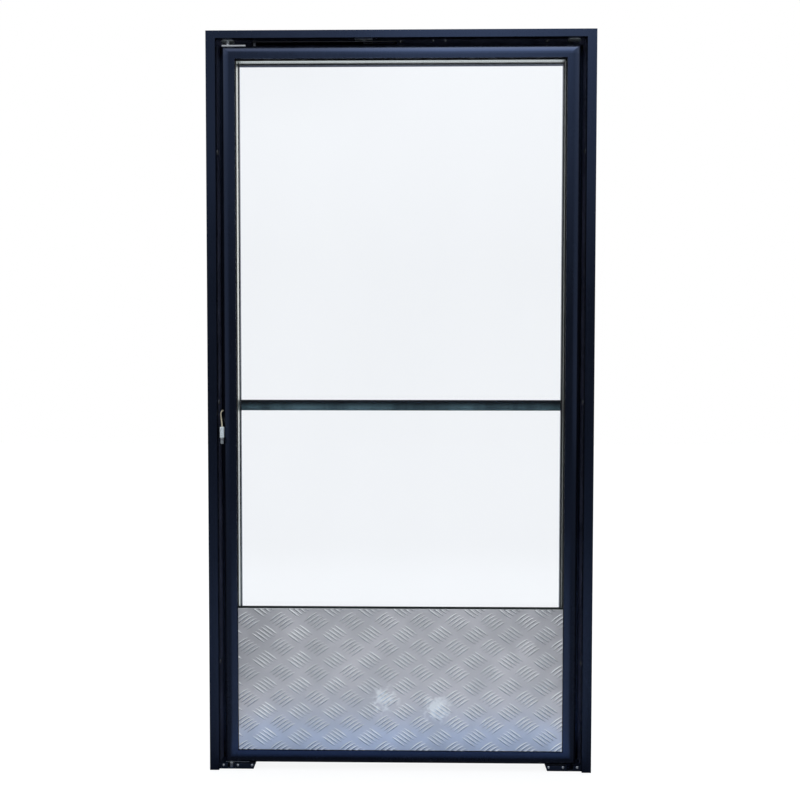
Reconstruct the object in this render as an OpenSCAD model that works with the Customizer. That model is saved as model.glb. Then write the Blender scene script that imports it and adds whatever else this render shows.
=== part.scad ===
// Cold-room glass door with tread-plate kick plates, hung in a three-sided frame.
// X runs along the door, Y runs away from the viewer, Z is up. The floor is Z = 0.

/* [Frame] */
// Width of the frame over both faces
frame_w = 1040; // [800:1:1300]
// Height of the frame from the floor
frame_h = 1997; // [1600:1:2400]
// Width of the jambs' visible face
face_w = 25; // [22:1:40]
// How much narrower the head's face is than the jambs'
head_trim = 5; // [0:0.5:5.5]
// Thickness of the face flange
face_t = 4; // [3:0.5:6]
// Depth of the frame from face to back
frame_d = 70; // [66:1:90]
// How far the face flange laps over the wall
flange_lap = 12; // [6:1:14]
// Wall thickness of the frame extrusion
frame_wall = 2; // [1.5:0.1:3]
// Width of the stop behind the door leaf
stop_w = 34; // [33:1:38]

/* [Fixing sleeves] */
// Bore of the fixing sleeves
fix_bore_d = 6.6; // [4.5:0.1:7]
// Outside diameter of the fixing sleeves
fix_tube_d = 10; // [9:0.5:12]
// Diameter of the flange on each fixing sleeve
fix_flange_d = 13; // [13:0.5:16]
// Distance of the sleeves behind the frame's face
fix_d = 20; // [14:1:30]
// Height of the lowest jamb sleeves
fix_low_z = 292; // [150:1:400]
// Height of the middle jamb sleeves
fix_mid_z = 1008; // [700:1:1300]
// Height of the highest jamb sleeves
fix_high_z = 1683; // [1450:1:1850]
// Distance from the head's middle sleeve to each outer one
head_fix_x = 393; // [300:1:415]

/* [Door leaf] */
// Gap between the leaf and each jamb
side_gap = 15.5; // [15:0.5:18]
// Gap between the leaf and the head
top_gap = 17; // [16:0.5:22]
// Height of the leaf above the floor
floor_gap = 18.5; // [18:0.5:30]
// Thickness of the leaf
leaf_t = 40; // [39:0.5:41]
// Width of the aluminium face of stiles and rails
member_w = 37; // [35:0.5:40]
// Wall thickness of the leaf extrusions
leaf_wall = 2.5; // [2:0.1:3]
// Width of the curved nose along the leaf's outer edge
nose_w = 22; // [18:0.5:24]
// How far the nose falls back at the leaf's outer edge
nose_d = 9; // [6:0.5:10]
// Width of the hollow tube part of the leaf extrusions
tube_w = 27; // [26.5:0.5:28]
// Thickness of the lip in front of the glass
lip_t = 3; // [2:0.1:3.5]

/* [Glazing] */
// Thickness of each pane
pane_t = 4; // [3:0.5:5]
// Air space between the panes
air_gap = 14; // [10:0.5:15]
// Thickness of the glazing gaskets
gasket_t = 3; // [2:0.1:3.5]
// Visible width of the glazing gaskets
gasket_show = 1; // [0.5:0.5:4]
// How far the rear gasket and beads stand in past the front one
rear_step = 3; // [2:0.5:6]
// Gap between the ends of the glazing beads
bead_play = 0.2; // [0.1:0.1:1]
// Gap between the glass edge and its pocket
glass_play = 2; // [1:0.1:3]
// Height of the sealed edge outside the spacer
sealant_w = 4; // [2:0.5:4]
// Length of each setting block
block_len = 80; // [40:1:150]

/* [Kick plates] */
// Height of the plates' top edge above the floor
kick_top_z = 446; // [250:1:700]
// Thickness of the plates without their pattern
kick_t = 2.5; // [1.5:0.1:3]
// Thickness of the bonding tape
tape_t = 1; // [0.5:0.1:1.2]
// How far the front tape shows above its plate
tape_show = 6; // [0.5:0.5:10]
// How much lower the rear plate ends than the front one
rear_drop = 4; // [0:0.5:20]
// Gap between a plate and the glazing gasket
kick_play = 0.3; // [0.1:0.1:2]
// Height of the raised bars
bar_rise = 1.4; // [0.5:0.1:1.5]
// Length of one raised bar
bar_len = 46; // [25:1:55]
// Width of one raised bar
bar_w = 5.6; // [3:0.1:7]
// How far the bars that rise to the right are bowed
bar_bow = 1.6; // [0:0.1:2]
// Distance between bars of one group, along the slope of the other groups
bar_pitch = 10.1; // [8:0.1:11]
// Number of bars in a group
bar_count = 5; // [3:1:5]
// Slope of the bars from level
bar_angle = 36; // [30:1:45]
// Distance between groups along the plate
tread_x = 95.4; // [85:0.1:120]
// Distance between groups up the plate
tread_z = 70.8; // [64:0.1:100]
// First group from the plate's left edge
tread_start_x = 24.5; // [0:0.5:60]
// First group below the plate's top edge
tread_start_z = 34.5; // [0:0.5:60]

/* [Push bar] */
// Height of the bar's middle above the floor
bar_z = 998; // [700:1:1250]
// Height of the push bar
push_h = 30; // [20:1:50]
// Depth of the push bar
push_d = 18; // [14:1:20]
// Clear space between the leaf and the push bar
push_clear = 22; // [20:1:30]
// Diameter of the push bar's posts
post_d = 12; // [10:1:13]

/* [Hinges] */
// Distance of the pivot from the leaf's outer edge
pivot_u = 15; // [14:0.5:16]
// Distance of the pivot behind the frame's face
pivot_d = 17; // [16:0.5:20]
// Diameter of the pivot pins
pin_d = 10; // [7:0.5:10]
// Running clearance of the pivots, on the radius
pin_play = 0.05; // [0.01:0.01:0.1]
// Length of the top hinge plate
top_plate_len = 64; // [50:1:90]
// Thickness of the top hinge plate
top_plate_t = 4.5; // [3:0.5:5]
// Length of the bottom hinge blocks
foot_len = 97; // [94:1:120]
// Height of the bottom hinge blocks
foot_h = 14.5; // [14:0.5:16]
// Depth of the bottom hinge blocks
foot_d = 30; // [28:1:38]
// Thickness of the nylon thrust washer
washer_t = 1.7; // [1:0.1:1.8]
// Opening angle of the leaf in the drawing
swing = 0; // [0:1:90]

/* [Hold-open stay] */
// Distance of the leaf's stud from the pivot
stay_reach = 72; // [68:1:90]
// Distance of the head's stud from the pivot
stay_base = 366; // [300:1:420]
// Width of the stay arm
stay_w = 14; // [12:1:16]
// Thickness of the stay arm
stay_t = 2; // [1.5:0.5:2]

/* [Hidden] */
$fn = 64;

// Colours of the finishes
coat = "#1f2433";
steel = "#8f949c";
black_rubber = "#15161a";
aluminium = "#a4a8b2";

// Depths, counted from the front face of the frame
total_d = leaf_t + push_clear + push_d;
front_y = -total_d / 2;
outer_pane_d = lip_t + gasket_t;
spacer_d = outer_pane_d + pane_t;
inner_pane_d = spacer_d + air_gap;
rear_gasket_d = inner_pane_d + pane_t;
bead_d = rear_gasket_d + gasket_t;
seal_t = 11.7;
seal_play = 0.3;
stop_d = leaf_t + seal_t + seal_play;

// Leaf rectangle and places measured inward from its edges
leaf_w = frame_w - 2 * (face_w + side_gap);
soffit_z = frame_h - face_w + head_trim;
leaf_top = soffit_z - top_gap;
leaf_h = leaf_top - floor_gap;
leaf_x = -leaf_w / 2;
glass_u = tube_w + glass_play;
sight_u = member_w + gasket_show;
rear_sight_u = sight_u + rear_step;
nose_r = (nose_w * nose_w + nose_d * nose_d) / (2 * nose_d);
spacer_u = glass_u + sealant_w;
spacer_sight = 1.5;
recess_x = -frame_w / 2 + face_w;
mitre_z = soffit_z + face_w;
pivot_x = leaf_x + pivot_u;
profile_w = face_w + stop_w;

// Cutters reach this far past what they cut
over = 1;

// Seal against the stop, and the steel strips that it closes on
seal_u = 4;
seal_w = 12;
seal_nose_w = 4;
seal_base_t = 4;
strip_w = 6;
strip_t = 1;
strip_play = 0.1;
strip_u = face_w + side_gap + seal_u + seal_w - (seal_nose_w + strip_w) / 2;

// Inserts in the hollow extrusions
key_play = 0.4;
frame_key_leg = 30;
leaf_key_leg = 60;
leaf_key_u = 5;
leaf_key_d = 10;
rod_d = 6;
rod_top_z = 640;
anchor_h = 40;
rod_gap = 0.3;

// Head fittings
bush_len = 36;
bush_wide = 20;
bush_t = 2;
sleeve_d = 16;
sleeve_h = 9;
sleeve_play = 0.1;
pin_in_bush = 8;
pin_in_leaf = 40;
fix_flange_t = 1;
small_screw_d = 4;
small_head_d = 7;
small_head_t = 1.8;
screw_play = 0.05;
screw_len = 9;

// Hold-open stay, in the gap between the leaf and the head
stay_z = leaf_top + 11;
stay_far = sqrt(stay_base * stay_base + stay_reach * stay_reach);
stay_near = stay_base - stay_reach;
stay_tail = 10;
stay_slot_w = 8;
stay_pin_d = 6;
stay_pin_play = 0.05;
stay_head_d = 10;
stay_head_t = 1.5;
stay_lift = 0.3;
stay_stud_in = 12;
stay_plate_len = 48;
stay_plate_w = 22;
stay_plate_t = 2;
stay_screw_x = 16;
spare_screw_x = [87, 120];

// Bottom hinge blocks
foot_front_d = 6;
foot_floor_t = 3;
foot_slant = 4;
notch_w = 18;
barrel_d = 14;
spigot_d = 8;
spigot_h = 2.5;
pin_rise = 30;
foot_screw_in = [11, 50, 89];
foot_screw_z = 10.5;
foot_plate_t = floor_gap - foot_h - washer_t - seal_play;
plate_front_d = nose_d + 1;
plate_back_d = 32;
plate_screw_u = [34, 54];

// Push bar ends
push_end_u = 24;
push_cap_t = 2;
push_wall = 2;
foot_plate_u = 20;
foot_plate_w = 18;
foot_plate_h = 46;
bracket_t = 3;
post_u = 31;
push_screw_rise = 15;
push_screw_u = 22;

// Heater lead on the hinge stile, as points from the leaf's outer edge: across, back and up
lead_d = 4;
lead_sides = 8;
lead_exit_z = 985;
lead_exit_d = 16;
grommet_d = 10;
grommet_t = 1.5;
grommet_neck_d = 7;
grommet_play = 0.1;
plug_size = [10, 7, 29];
socket_size = [7, 6.6, 17];
plug_top_z = 941;
plug_u = -2.5;
plug_mid_d = 2;
plug_rib = 0.8;
lead_in = 2;
lead_run = 1;
lead_bend_r = 8.4;
lead_lean = 1.6;
bend_steps = 8;
drop_steps = 12;
lead_bend = [for (i = [1 : bend_steps])
    let (a = 90 * i / bend_steps)
        [-lead_run - lead_bend_r * sin(a), lead_exit_d - lead_lean * (1 - cos(a)),
            lead_exit_z - lead_bend_r * (1 - cos(a))]];
lead_turned = lead_bend[bend_steps - 1];
lead_drop = [for (i = [1 : drop_steps])
    let (t = i / drop_steps, e = t * t * (3 - 2 * t))
        [lead_turned[0] + (plug_u - lead_turned[0]) * e, lead_turned[1] + (plug_mid_d - lead_turned[1]) * e,
            lead_turned[2] + (plug_top_z - lead_turned[2]) * t]];
lead_points = concat([[lead_in, lead_exit_d, lead_exit_z], [0, lead_exit_d, lead_exit_z],
    [-lead_run, lead_exit_d, lead_exit_z]], lead_bend, lead_drop);

// Moves its children back from the frame's front face
module at_depth(d) {
    translate([0, front_y + d, 0])
        children();
}

// Moves a leaf piece with the swing angle
module on_leaf() {
    translate([pivot_x, front_y + pivot_d, 0])
        rotate([0, 0, -swing])
            translate([-pivot_x, -front_y - pivot_d, 0])
                children();
}

// An upright bar from an outline of width and depth, cut at 45 degrees at the chosen ends
module mitred_bar(length, width, depth, low_cut, high_cut) {
    intersection() {
        linear_extrude(length)
            children();
        translate([0, depth + over, 0])
            rotate([90, 0, 0])
                linear_extrude(depth + 2 * over)
                    polygon([[0, 0], [width, low_cut ? width : 0],
                        [width, length - (high_cut ? width : 0)], [0, length]]);
    }
}

// A rectangular ring round the leaf, inset from its edge
module leaf_ring(outer_u, inner_u, d, thick) {
    at_depth(d)
        difference() {
            translate([leaf_x + outer_u, 0, floor_gap + outer_u])
                cube([leaf_w - 2 * outer_u, thick, leaf_h - 2 * outer_u]);
            translate([leaf_x + inner_u, -over, floor_gap + inner_u])
                cube([leaf_w - 2 * inner_u, thick + 2 * over, leaf_h - 2 * inner_u]);
        }
}

// A flat panel inset from the leaf's edge
module leaf_panel(inset, d, thick) {
    translate([leaf_x + inset, front_y + d, floor_gap + inset])
        cube([leaf_w - 2 * inset, thick, leaf_h - 2 * inset]);
}

// Places a bar made for the left side of the leaf on each of its four sides
module left_side() {
    translate([leaf_x, front_y, floor_gap])
        children();
}
module right_side() {
    mirror([1, 0, 0])
        left_side()
            children();
}
module top_side() {
    translate([leaf_x, front_y, leaf_top])
        rotate([0, 90, 0])
            children();
}
module bottom_side() {
    translate([leaf_x, front_y, floor_gap])
        mirror([0, 0, 1])
            rotate([0, 90, 0])
                children();
}

// A small screw with a domed head, its head's underside at the origin and its shank along -Z
module small_screw(length) {
    rotate_extrude()
        union() {
            translate([0, -length])
                square([small_screw_d / 2, length + over / 2]);
            intersection() {
                translate([0, small_head_t - small_head_d])
                    circle(small_head_d);
                square([small_head_d / 2, small_head_t]);
            }
        }
}

// Outline of the frame extrusion: width from the outer edge, and depth
module frame_outline() {
    difference() {
        polygon([[0, 0], [face_w, 0], [face_w, stop_d], [profile_w, stop_d], [profile_w, frame_d],
            [flange_lap, frame_d], [flange_lap, face_t], [0, face_t]]);
        translate([flange_lap + frame_wall, face_t])
            square([face_w - flange_lap - 2 * frame_wall, stop_d - face_t - frame_wall]);
        translate([flange_lap + frame_wall, stop_d + frame_wall])
            square([profile_w - flange_lap - 2 * frame_wall, frame_d - stop_d - 2 * frame_wall]);
        translate([strip_u - strip_play, stop_d - over])
            square([strip_w + 2 * strip_play, over + strip_t]);
    }
}

// Places of the fixing sleeves on the left jamb and on the head, pointing into the wall
module jamb_fix_places() {
    for (z = [fix_low_z, fix_mid_z, fix_high_z])
        translate([recess_x, front_y + fix_d, z])
            rotate([0, -90, 0])
                children();
}
module head_fix_places() {
    for (x = [-head_fix_x, 0, head_fix_x])
        translate([x, front_y + fix_d, soffit_z])
            children();
}

// Hole for a fixing sleeve, through both walls of the frame
module fix_hole() {
    translate([0, 0, -over])
        cylinder(d = fix_tube_d + 2 * sleeve_play, h = face_w + over);
}

// What the head's narrower face takes off the top of the mitred corners
module above_frame() {
    translate([-frame_w / 2 - over, front_y - over, frame_h])
        cube([frame_w + 2 * over, frame_d + 2 * over, head_trim + over]);
}

// The left jamb with its fixing holes; the right one mirrors it
module jamb() {
    difference() {
        translate([-frame_w / 2, front_y, 0])
            mitred_bar(mitre_z, profile_w, frame_d, false, true)
                frame_outline();
        above_frame();
        jamb_fix_places()
            fix_hole();
    }
}

module hinge_jamb() {
    color(coat)
        jamb();
}

module latch_jamb() {
    color(coat)
        mirror([1, 0, 0])
            jamb();
}

module frame_head() {
    color(coat)
        difference() {
            translate([-frame_w / 2, front_y, mitre_z])
                rotate([0, 90, 0])
                    mitred_bar(frame_w, profile_w, frame_d, true, true)
                        frame_outline();
            above_frame();
            for (side = [-1, 1])
                translate([side * pivot_x, front_y + pivot_d, soffit_z - over])
                    cylinder(d = sleeve_d + 2 * sleeve_play, h = frame_wall + 2 * over);
            head_fix_places()
                fix_hole();
            head_screw_places()
                translate([0, 0, -over])
                    cylinder(d = small_screw_d + 2 * screw_play, h = frame_wall + 2 * over);
        }
}

// Angle pieces inside the frame's mitred corners
module frame_corner_keys() {
    key_w = face_w - flange_lap - 2 * frame_wall - 2 * key_play;
    key_u = flange_lap + frame_wall + key_play;
    color(aluminium)
        for (side = [0, 1])
            mirror([side, 0, 0])
                translate([-frame_w / 2 + key_u, front_y + face_t + key_play, mitre_z - key_u])
                    mirror([0, 0, 1]) {
                        cube([key_w, stop_d - face_t - frame_wall - 2 * key_play, frame_key_leg]);
                        cube([frame_key_leg, stop_d - face_t - frame_wall - 2 * key_play, key_w]);
                    }
}

// Steel strips let into the stop, which the magnetic seal holds on to
module strike_strips() {
    color(steel)
        at_depth(stop_d) {
            for (side = [0, 1])
                mirror([side, 0, 0])
                    translate([-frame_w / 2 + strip_u, 0, 0])
                        cube([strip_w, strip_t, mitre_z - strip_u - strip_w - strip_play]);
            translate([-frame_w / 2 + strip_u, 0, mitre_z - strip_u - strip_w])
                cube([frame_w - 2 * strip_u, strip_t, strip_w]);
        }
}

// Flanged tubes in the hollow frame that the fixing screws go through
module fixing_sleeve() {
    difference() {
        union() {
            translate([0, 0, -fix_flange_t])
                cylinder(d = fix_flange_d, h = fix_flange_t);
            cylinder(d = fix_tube_d, h = face_w - flange_lap);
        }
        translate([0, 0, -fix_flange_t - over])
            cylinder(d = fix_bore_d, h = face_w);
    }
}

module fixing_sleeves() {
    color("#c9ccd2") {
        for (side = [0, 1])
            mirror([side, 0, 0])
                jamb_fix_places()
                    fixing_sleeve();
        head_fix_places()
            fixing_sleeve();
    }
}

// Oval flange of the head's pivot fittings
module oval(length, width) {
    for (side = [-1, 1])
        translate([side * (length - width) / 2, 0])
            circle(d = width);
    square([length - width, width], center = true);
}

module bush_body(bore_d) {
    difference() {
        union() {
            translate([0, 0, -bush_t])
                linear_extrude(bush_t)
                    oval(bush_len, bush_wide);
            cylinder(d = sleeve_d, h = sleeve_h);
        }
        translate([0, 0, -bush_t - over])
            cylinder(d = bore_d, h = sleeve_h + bush_t + 2 * over);
    }
}

module head_bush() {
    color(steel)
        translate([pivot_x, front_y + pivot_d, soffit_z])
            bush_body(pin_d + 2 * pin_play);
}

module spare_bush_cap() {
    color(steel)
        translate([-pivot_x, front_y + pivot_d, soffit_z]) {
            translate([0, 0, -bush_t])
                linear_extrude(bush_t)
                    oval(bush_len, bush_wide);
            cylinder(d = sleeve_d, h = sleeve_h);
        }
}

// A hinge block standing on the floor against the left jamb, with an open notch for the pivot
module foot_block() {
    block_x = recess_x;
    notch_x = pivot_x - notch_w / 2;
    difference() {
        translate([block_x, front_y + foot_front_d + foot_d, 0])
            rotate([90, 0, 0])
                linear_extrude(foot_d)
                    polygon([[0, 0], [foot_len - foot_slant, 0], [foot_len, foot_h], [0, foot_h]]);
        translate([notch_x, front_y + foot_front_d - over, foot_floor_t])
            cube([notch_w, pivot_d - foot_front_d + notch_w / 2 + over, foot_h]);
        translate([pivot_x, front_y + pivot_d, foot_floor_t - spigot_h])
            cylinder(d = spigot_d + 2 * pin_play, h = foot_h);
        for (x = foot_screw_in)
            translate([block_x + x, front_y + foot_front_d, foot_screw_z])
                rotate([90, 0, 0])
                    translate([0, 0, -screw_len - over])
                        cylinder(d = small_screw_d + 2 * screw_play, h = screw_len + 2 * over);
    }
}

module hinge_block() {
    color(coat)
        foot_block();
}

module spare_block() {
    color(coat)
        mirror([1, 0, 0])
            foot_block();
}

module block_screws() {
    color("#c9ccd2")
        for (side = [0, 1])
            mirror([side, 0, 0])
                for (x = foot_screw_in)
                    translate([recess_x + x, front_y + foot_front_d, foot_screw_z])
                        rotate([90, 0, 0])
                            small_screw(screw_len);
}

module lower_pivot_pin() {
    color(steel)
        translate([pivot_x, front_y + pivot_d, 0]) {
            translate([0, 0, foot_floor_t - spigot_h])
                cylinder(d = spigot_d, h = spigot_h);
            translate([0, 0, foot_floor_t])
                cylinder(d = barrel_d, h = foot_h - foot_floor_t);
            translate([0, 0, foot_h])
                cylinder(d = pin_d, h = floor_gap - foot_h + pin_rise);
        }
}

module thrust_washer() {
    color("#d8d8d0")
        translate([pivot_x, front_y + pivot_d, foot_h])
            difference() {
                cylinder(d = barrel_d, h = washer_t);
                translate([0, 0, -over])
                    cylinder(d = pin_d + 2 * pin_play, h = washer_t + 2 * over);
            }
}

// Screw places on the soffit: two at the stay bracket, and the spare pair for the other hand
module stay_screw_places() {
    for (side = [-1, 1])
        translate([pivot_x + stay_base + side * stay_screw_x, front_y + pivot_d, soffit_z])
            children();
}
module spare_screw_places() {
    for (x = spare_screw_x)
        translate([x, front_y + pivot_d, soffit_z])
            children();
}
module head_screw_places() {
    stay_screw_places()
        children();
    spare_screw_places()
        children();
}

// Plate under the head with the stud that the stay arm slides along
module stay_bracket() {
    color(steel)
        difference() {
            translate([pivot_x + stay_base, front_y + pivot_d, soffit_z - stay_plate_t]) {
                translate([-stay_plate_len / 2, -stay_plate_w / 2, 0])
                    cube([stay_plate_len, stay_plate_w, stay_plate_t]);
                translate([0, 0, stay_z + stay_t + stay_lift - soffit_z + stay_plate_t])
                    cylinder(d = stay_head_d, h = soffit_z - stay_plate_t - stay_z - stay_t - stay_lift);
            }
            stay_screw_places()
                translate([0, 0, -stay_plate_t - over])
                    cylinder(d = small_screw_d + 2 * screw_play, h = stay_plate_t + 2 * over);
        }
}

module head_screws() {
    color("#c9ccd2") {
        stay_screw_places()
            translate([0, 0, -stay_plate_t])
                mirror([0, 0, 1])
                    small_screw(screw_len);
        spare_screw_places()
            mirror([0, 0, 1])
                small_screw(screw_len);
    }
}

// Shouldered stud on the top rail, and the slotted arm that turns on it
module stay_stud() {
    color(steel)
        on_leaf()
            translate([pivot_x + stay_reach, front_y + pivot_d, leaf_top]) {
                translate([0, 0, -stay_stud_in])
                    cylinder(d = small_screw_d, h = stay_stud_in);
                cylinder(d = stay_head_d, h = stay_z - leaf_top - stay_lift);
                cylinder(d = stay_pin_d, h = stay_z + stay_t + stay_lift - leaf_top);
                translate([0, 0, stay_z + stay_t + stay_lift - leaf_top])
                    cylinder(d = stay_head_d, h = stay_head_t);
            }
}

module stay_arm() {
    slot_len = stay_far - stay_near + stay_slot_w;
    arm_len = stay_far + stay_tail + stay_w / 2;
    arm_turn = atan2(stay_reach * sin(swing), stay_base - stay_reach * cos(swing));
    color(aluminium)
        translate([pivot_x + stay_reach * cos(swing), front_y + pivot_d - stay_reach * sin(swing), stay_z])
            rotate([0, 0, arm_turn])
                linear_extrude(stay_t)
                    difference() {
                        translate([(arm_len - stay_w) / 2, 0])
                            oval(arm_len, stay_w);
                        circle(d = stay_pin_d + 2 * stay_pin_play);
                        translate([(stay_near + stay_far) / 2, 0])
                            oval(slot_len, stay_slot_w);
                    }
}

// Outline of the leaf extrusion: a hollow tube with a curved nose, and a lip in front of the glass
module leaf_outline() {
    difference() {
        union() {
            nosed_tube(0);
            translate([nose_w, 0])
                square([member_w - nose_w, lip_t]);
        }
        nosed_tube(leaf_wall);
    }
}

// The tube with its front falling back in an arc toward the outer edge, inset by a wall
module nosed_tube(inset) {
    intersection() {
        union() {
            translate([nose_w, nose_r])
                circle(nose_r - inset);
            translate([0, nose_r])
                square([nose_w, leaf_t]);
            translate([nose_w, inset])
                square([tube_w, leaf_t]);
        }
        translate([inset, 0])
            square([tube_w - 2 * inset, leaf_t - inset]);
    }
}

module leaf_bar(length) {
    mitred_bar(length, member_w, leaf_t, true, true)
        leaf_outline();
}

module hinge_stile() {
    color(coat)
        on_leaf()
            difference() {
                left_side()
                    leaf_bar(leaf_h);
                push_screw_places()
                    translate([0, 0, -screw_len - over])
                        cylinder(d = small_screw_d + 2 * screw_play, h = screw_len + 2 * over);
                translate([leaf_x - over, front_y + lead_exit_d, lead_exit_z])
                    rotate([0, 90, 0])
                        cylinder(d = grommet_neck_d + 2 * grommet_play, h = leaf_wall + 2 * over);
            }
}

module latch_stile() {
    color(coat)
        on_leaf()
            difference() {
                right_side()
                    leaf_bar(leaf_h);
                mirror([1, 0, 0])
                    push_screw_places()
                        translate([0, 0, -screw_len - over])
                            cylinder(d = small_screw_d + 2 * screw_play, h = screw_len + 2 * over);
            }
}

// Upright bores at both pivot places and both pairs of plate screws, through the rails and the keys
module hinge_bores(z, length) {
    for (side = [0, 1])
        mirror([side, 0, 0]) {
            translate([pivot_x, front_y + pivot_d, z])
                cylinder(d = pin_d + 2 * pin_play, h = length);
            for (u = plate_screw_u)
                translate([leaf_x + u, front_y + pivot_d, z])
                    cylinder(d = small_screw_d + 2 * screw_play, h = length);
        }
}

module top_rail() {
    color(coat)
        on_leaf()
            difference() {
                top_side()
                    leaf_bar(leaf_w);
                hinge_bores(leaf_top - 2 * leaf_wall, 2 * leaf_wall + over);
                translate([pivot_x + stay_reach, front_y + pivot_d, leaf_top - 2 * leaf_wall])
                    cylinder(d = small_screw_d + 2 * screw_play, h = 2 * leaf_wall + over);
            }
}

module bottom_rail() {
    color(coat)
        on_leaf()
            difference() {
                bottom_side()
                    leaf_bar(leaf_w);
                hinge_bores(floor_gap - over, 2 * leaf_wall + over);
            }
}

// Angle pieces inside the leaf's mitred corners, which also hold the pivots
module leaf_corner_keys() {
    key_w = tube_w - leaf_wall - key_play - leaf_key_u;
    key_d = leaf_t - leaf_wall - key_play - leaf_key_d;
    color(aluminium)
        on_leaf()
            difference() {
                for (side = [0, 1], low = [0, 1])
                    mirror([side, 0, 0])
                        translate([leaf_x + leaf_key_u, front_y + leaf_key_d,
                            low ? floor_gap + leaf_key_u : leaf_top - leaf_key_u])
                            mirror([0, 0, 1 - low]) {
                                cube([key_w, key_d, leaf_key_leg]);
                                cube([leaf_key_leg, key_d, key_w]);
                            }
                hinge_bores(leaf_top - leaf_key_leg - 2 * leaf_key_u, leaf_key_leg + 2 * leaf_key_u);
                hinge_bores(floor_gap, leaf_key_leg + 2 * leaf_key_u);
            }
}

module outer_pane() {
    color("#dfe9f2", 0.4)
        on_leaf()
            leaf_panel(glass_u, outer_pane_d, pane_t);
}

module inner_pane() {
    color("#dfe9f2", 0.4)
        on_leaf()
            leaf_panel(glass_u, inner_pane_d, pane_t);
}

module spacer_frame() {
    color("#c3c7cc")
        on_leaf()
            leaf_ring(spacer_u, sight_u + spacer_sight, spacer_d, air_gap);
}

module edge_sealant() {
    color(black_rubber)
        on_leaf()
            leaf_ring(glass_u, spacer_u, spacer_d, air_gap);
}

module front_gasket() {
    color(black_rubber)
        on_leaf()
            leaf_ring(glass_u, sight_u, lip_t, gasket_t);
}

module rear_gasket() {
    color(black_rubber)
        on_leaf()
            leaf_ring(glass_u, rear_sight_u, rear_gasket_d, gasket_t);
}

// Four beads that hold the glass from behind: the upright ones full length, the level ones between them
module glazing_beads() {
    bead_w = rear_sight_u - tube_w;
    level_u = rear_sight_u + bead_play;
    color(coat)
        on_leaf()
            at_depth(bead_d) {
                for (side = [0, 1])
                    mirror([side, 0, 0])
                        translate([leaf_x + tube_w, 0, floor_gap + tube_w])
                            cube([bead_w, leaf_t - bead_d, leaf_h - 2 * tube_w]);
                for (z = [floor_gap + tube_w, leaf_top - rear_sight_u])
                    translate([leaf_x + level_u, 0, z])
                        cube([leaf_w - 2 * level_u, leaf_t - bead_d, bead_w]);
            }
}

// Rubber blocks that carry the glass in the bottom rail
module setting_blocks() {
    color(black_rubber)
        on_leaf()
            for (side = [-1, 1])
                translate([side * leaf_w / 4 - block_len / 2, front_y + outer_pane_d, floor_gap + tube_w])
                    cube([block_len, rear_gasket_d - outer_pane_d, glass_play]);
}

// Seal bars on the back of the leaf's top and sides, narrow where they meet the stop
module seal_bar(length, low_cut) {
    translate([seal_u, 0, seal_u])
        mitred_bar(length - 2 * seal_u, seal_w, leaf_t + seal_t, low_cut, true)
            polygon([[0, leaf_t], [seal_w, leaf_t], [seal_w, leaf_t + seal_t],
                [seal_w - seal_nose_w, leaf_t + seal_t], [0, leaf_t + seal_base_t]]);
}

module magnetic_seal() {
    color(black_rubber)
        on_leaf()
            union() {
                left_side()
                    seal_bar(leaf_h, false);
                right_side()
                    seal_bar(leaf_h, false);
                top_side()
                    seal_bar(leaf_w, true);
            }
}

module top_hinge_plate() {
    color(steel)
        on_leaf()
            difference() {
                translate([leaf_x, front_y + plate_front_d, leaf_top])
                    cube([top_plate_len, plate_back_d - plate_front_d, top_plate_t]);
                hinge_bores(leaf_top - over, top_plate_t + 2 * over);
            }
}

module top_pivot_pin() {
    color("#b4b8be")
        on_leaf()
            translate([pivot_x, front_y + pivot_d, leaf_top - pin_in_leaf])
                cylinder(d = pin_d, h = pin_in_leaf + top_gap + pin_in_bush);
}

module bottom_hinge_plate() {
    color(steel)
        on_leaf()
            difference() {
                translate([leaf_x, front_y + plate_front_d, floor_gap - foot_plate_t])
                    cube([top_plate_len, plate_back_d - plate_front_d, foot_plate_t]);
                hinge_bores(floor_gap - foot_plate_t - over, foot_plate_t + 2 * over);
            }
}

// Screws through the top hinge plate into the corner key
module hinge_plate_screws() {
    color("#c9ccd2")
        on_leaf()
            for (u = plate_screw_u)
                translate([leaf_x + u, front_y + pivot_d, leaf_top + top_plate_t])
                    small_screw(top_plate_t + screw_len);
}

// Spring rod in the hinge stile that turns the leaf closed, and the block that holds its top end
module torque_rod() {
    color("#6c7078")
        on_leaf()
            translate([pivot_x, front_y + pivot_d, floor_gap + pin_rise + rod_gap])
                cylinder(d = rod_d, h = rod_top_z - floor_gap - pin_rise - rod_gap);
}

module rod_anchor() {
    anchor_w = tube_w - leaf_wall - key_play - leaf_key_u;
    color(aluminium)
        on_leaf()
            difference() {
                translate([leaf_x + leaf_key_u, front_y + leaf_key_d, rod_top_z - anchor_h])
                    cube([anchor_w, leaf_t - leaf_wall - key_play - leaf_key_d, anchor_h]);
                translate([pivot_x, front_y + pivot_d, rod_top_z - anchor_h - over])
                    cylinder(d = rod_d + 2 * pin_play, h = anchor_h + 2 * over);
            }
}

// Size and corner of a kick plate, inside the glazing gasket
kick_u = sight_u + kick_play;
kick_w = leaf_w - 2 * kick_u;
kick_z = floor_gap + kick_u;
kick_h = kick_top_z - kick_z;
rear_kick_u = rear_sight_u + kick_play;
rear_kick_w = leaf_w - 2 * rear_kick_u;
rear_kick_z = floor_gap + rear_kick_u;
rear_kick_h = kick_top_z - rear_drop - rear_kick_z;

// Radius of an arc over the bar's length that rises by this much
function bulge_r(rise) = (bar_len * bar_len / 4 + rise * rise) / (2 * rise);

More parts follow.
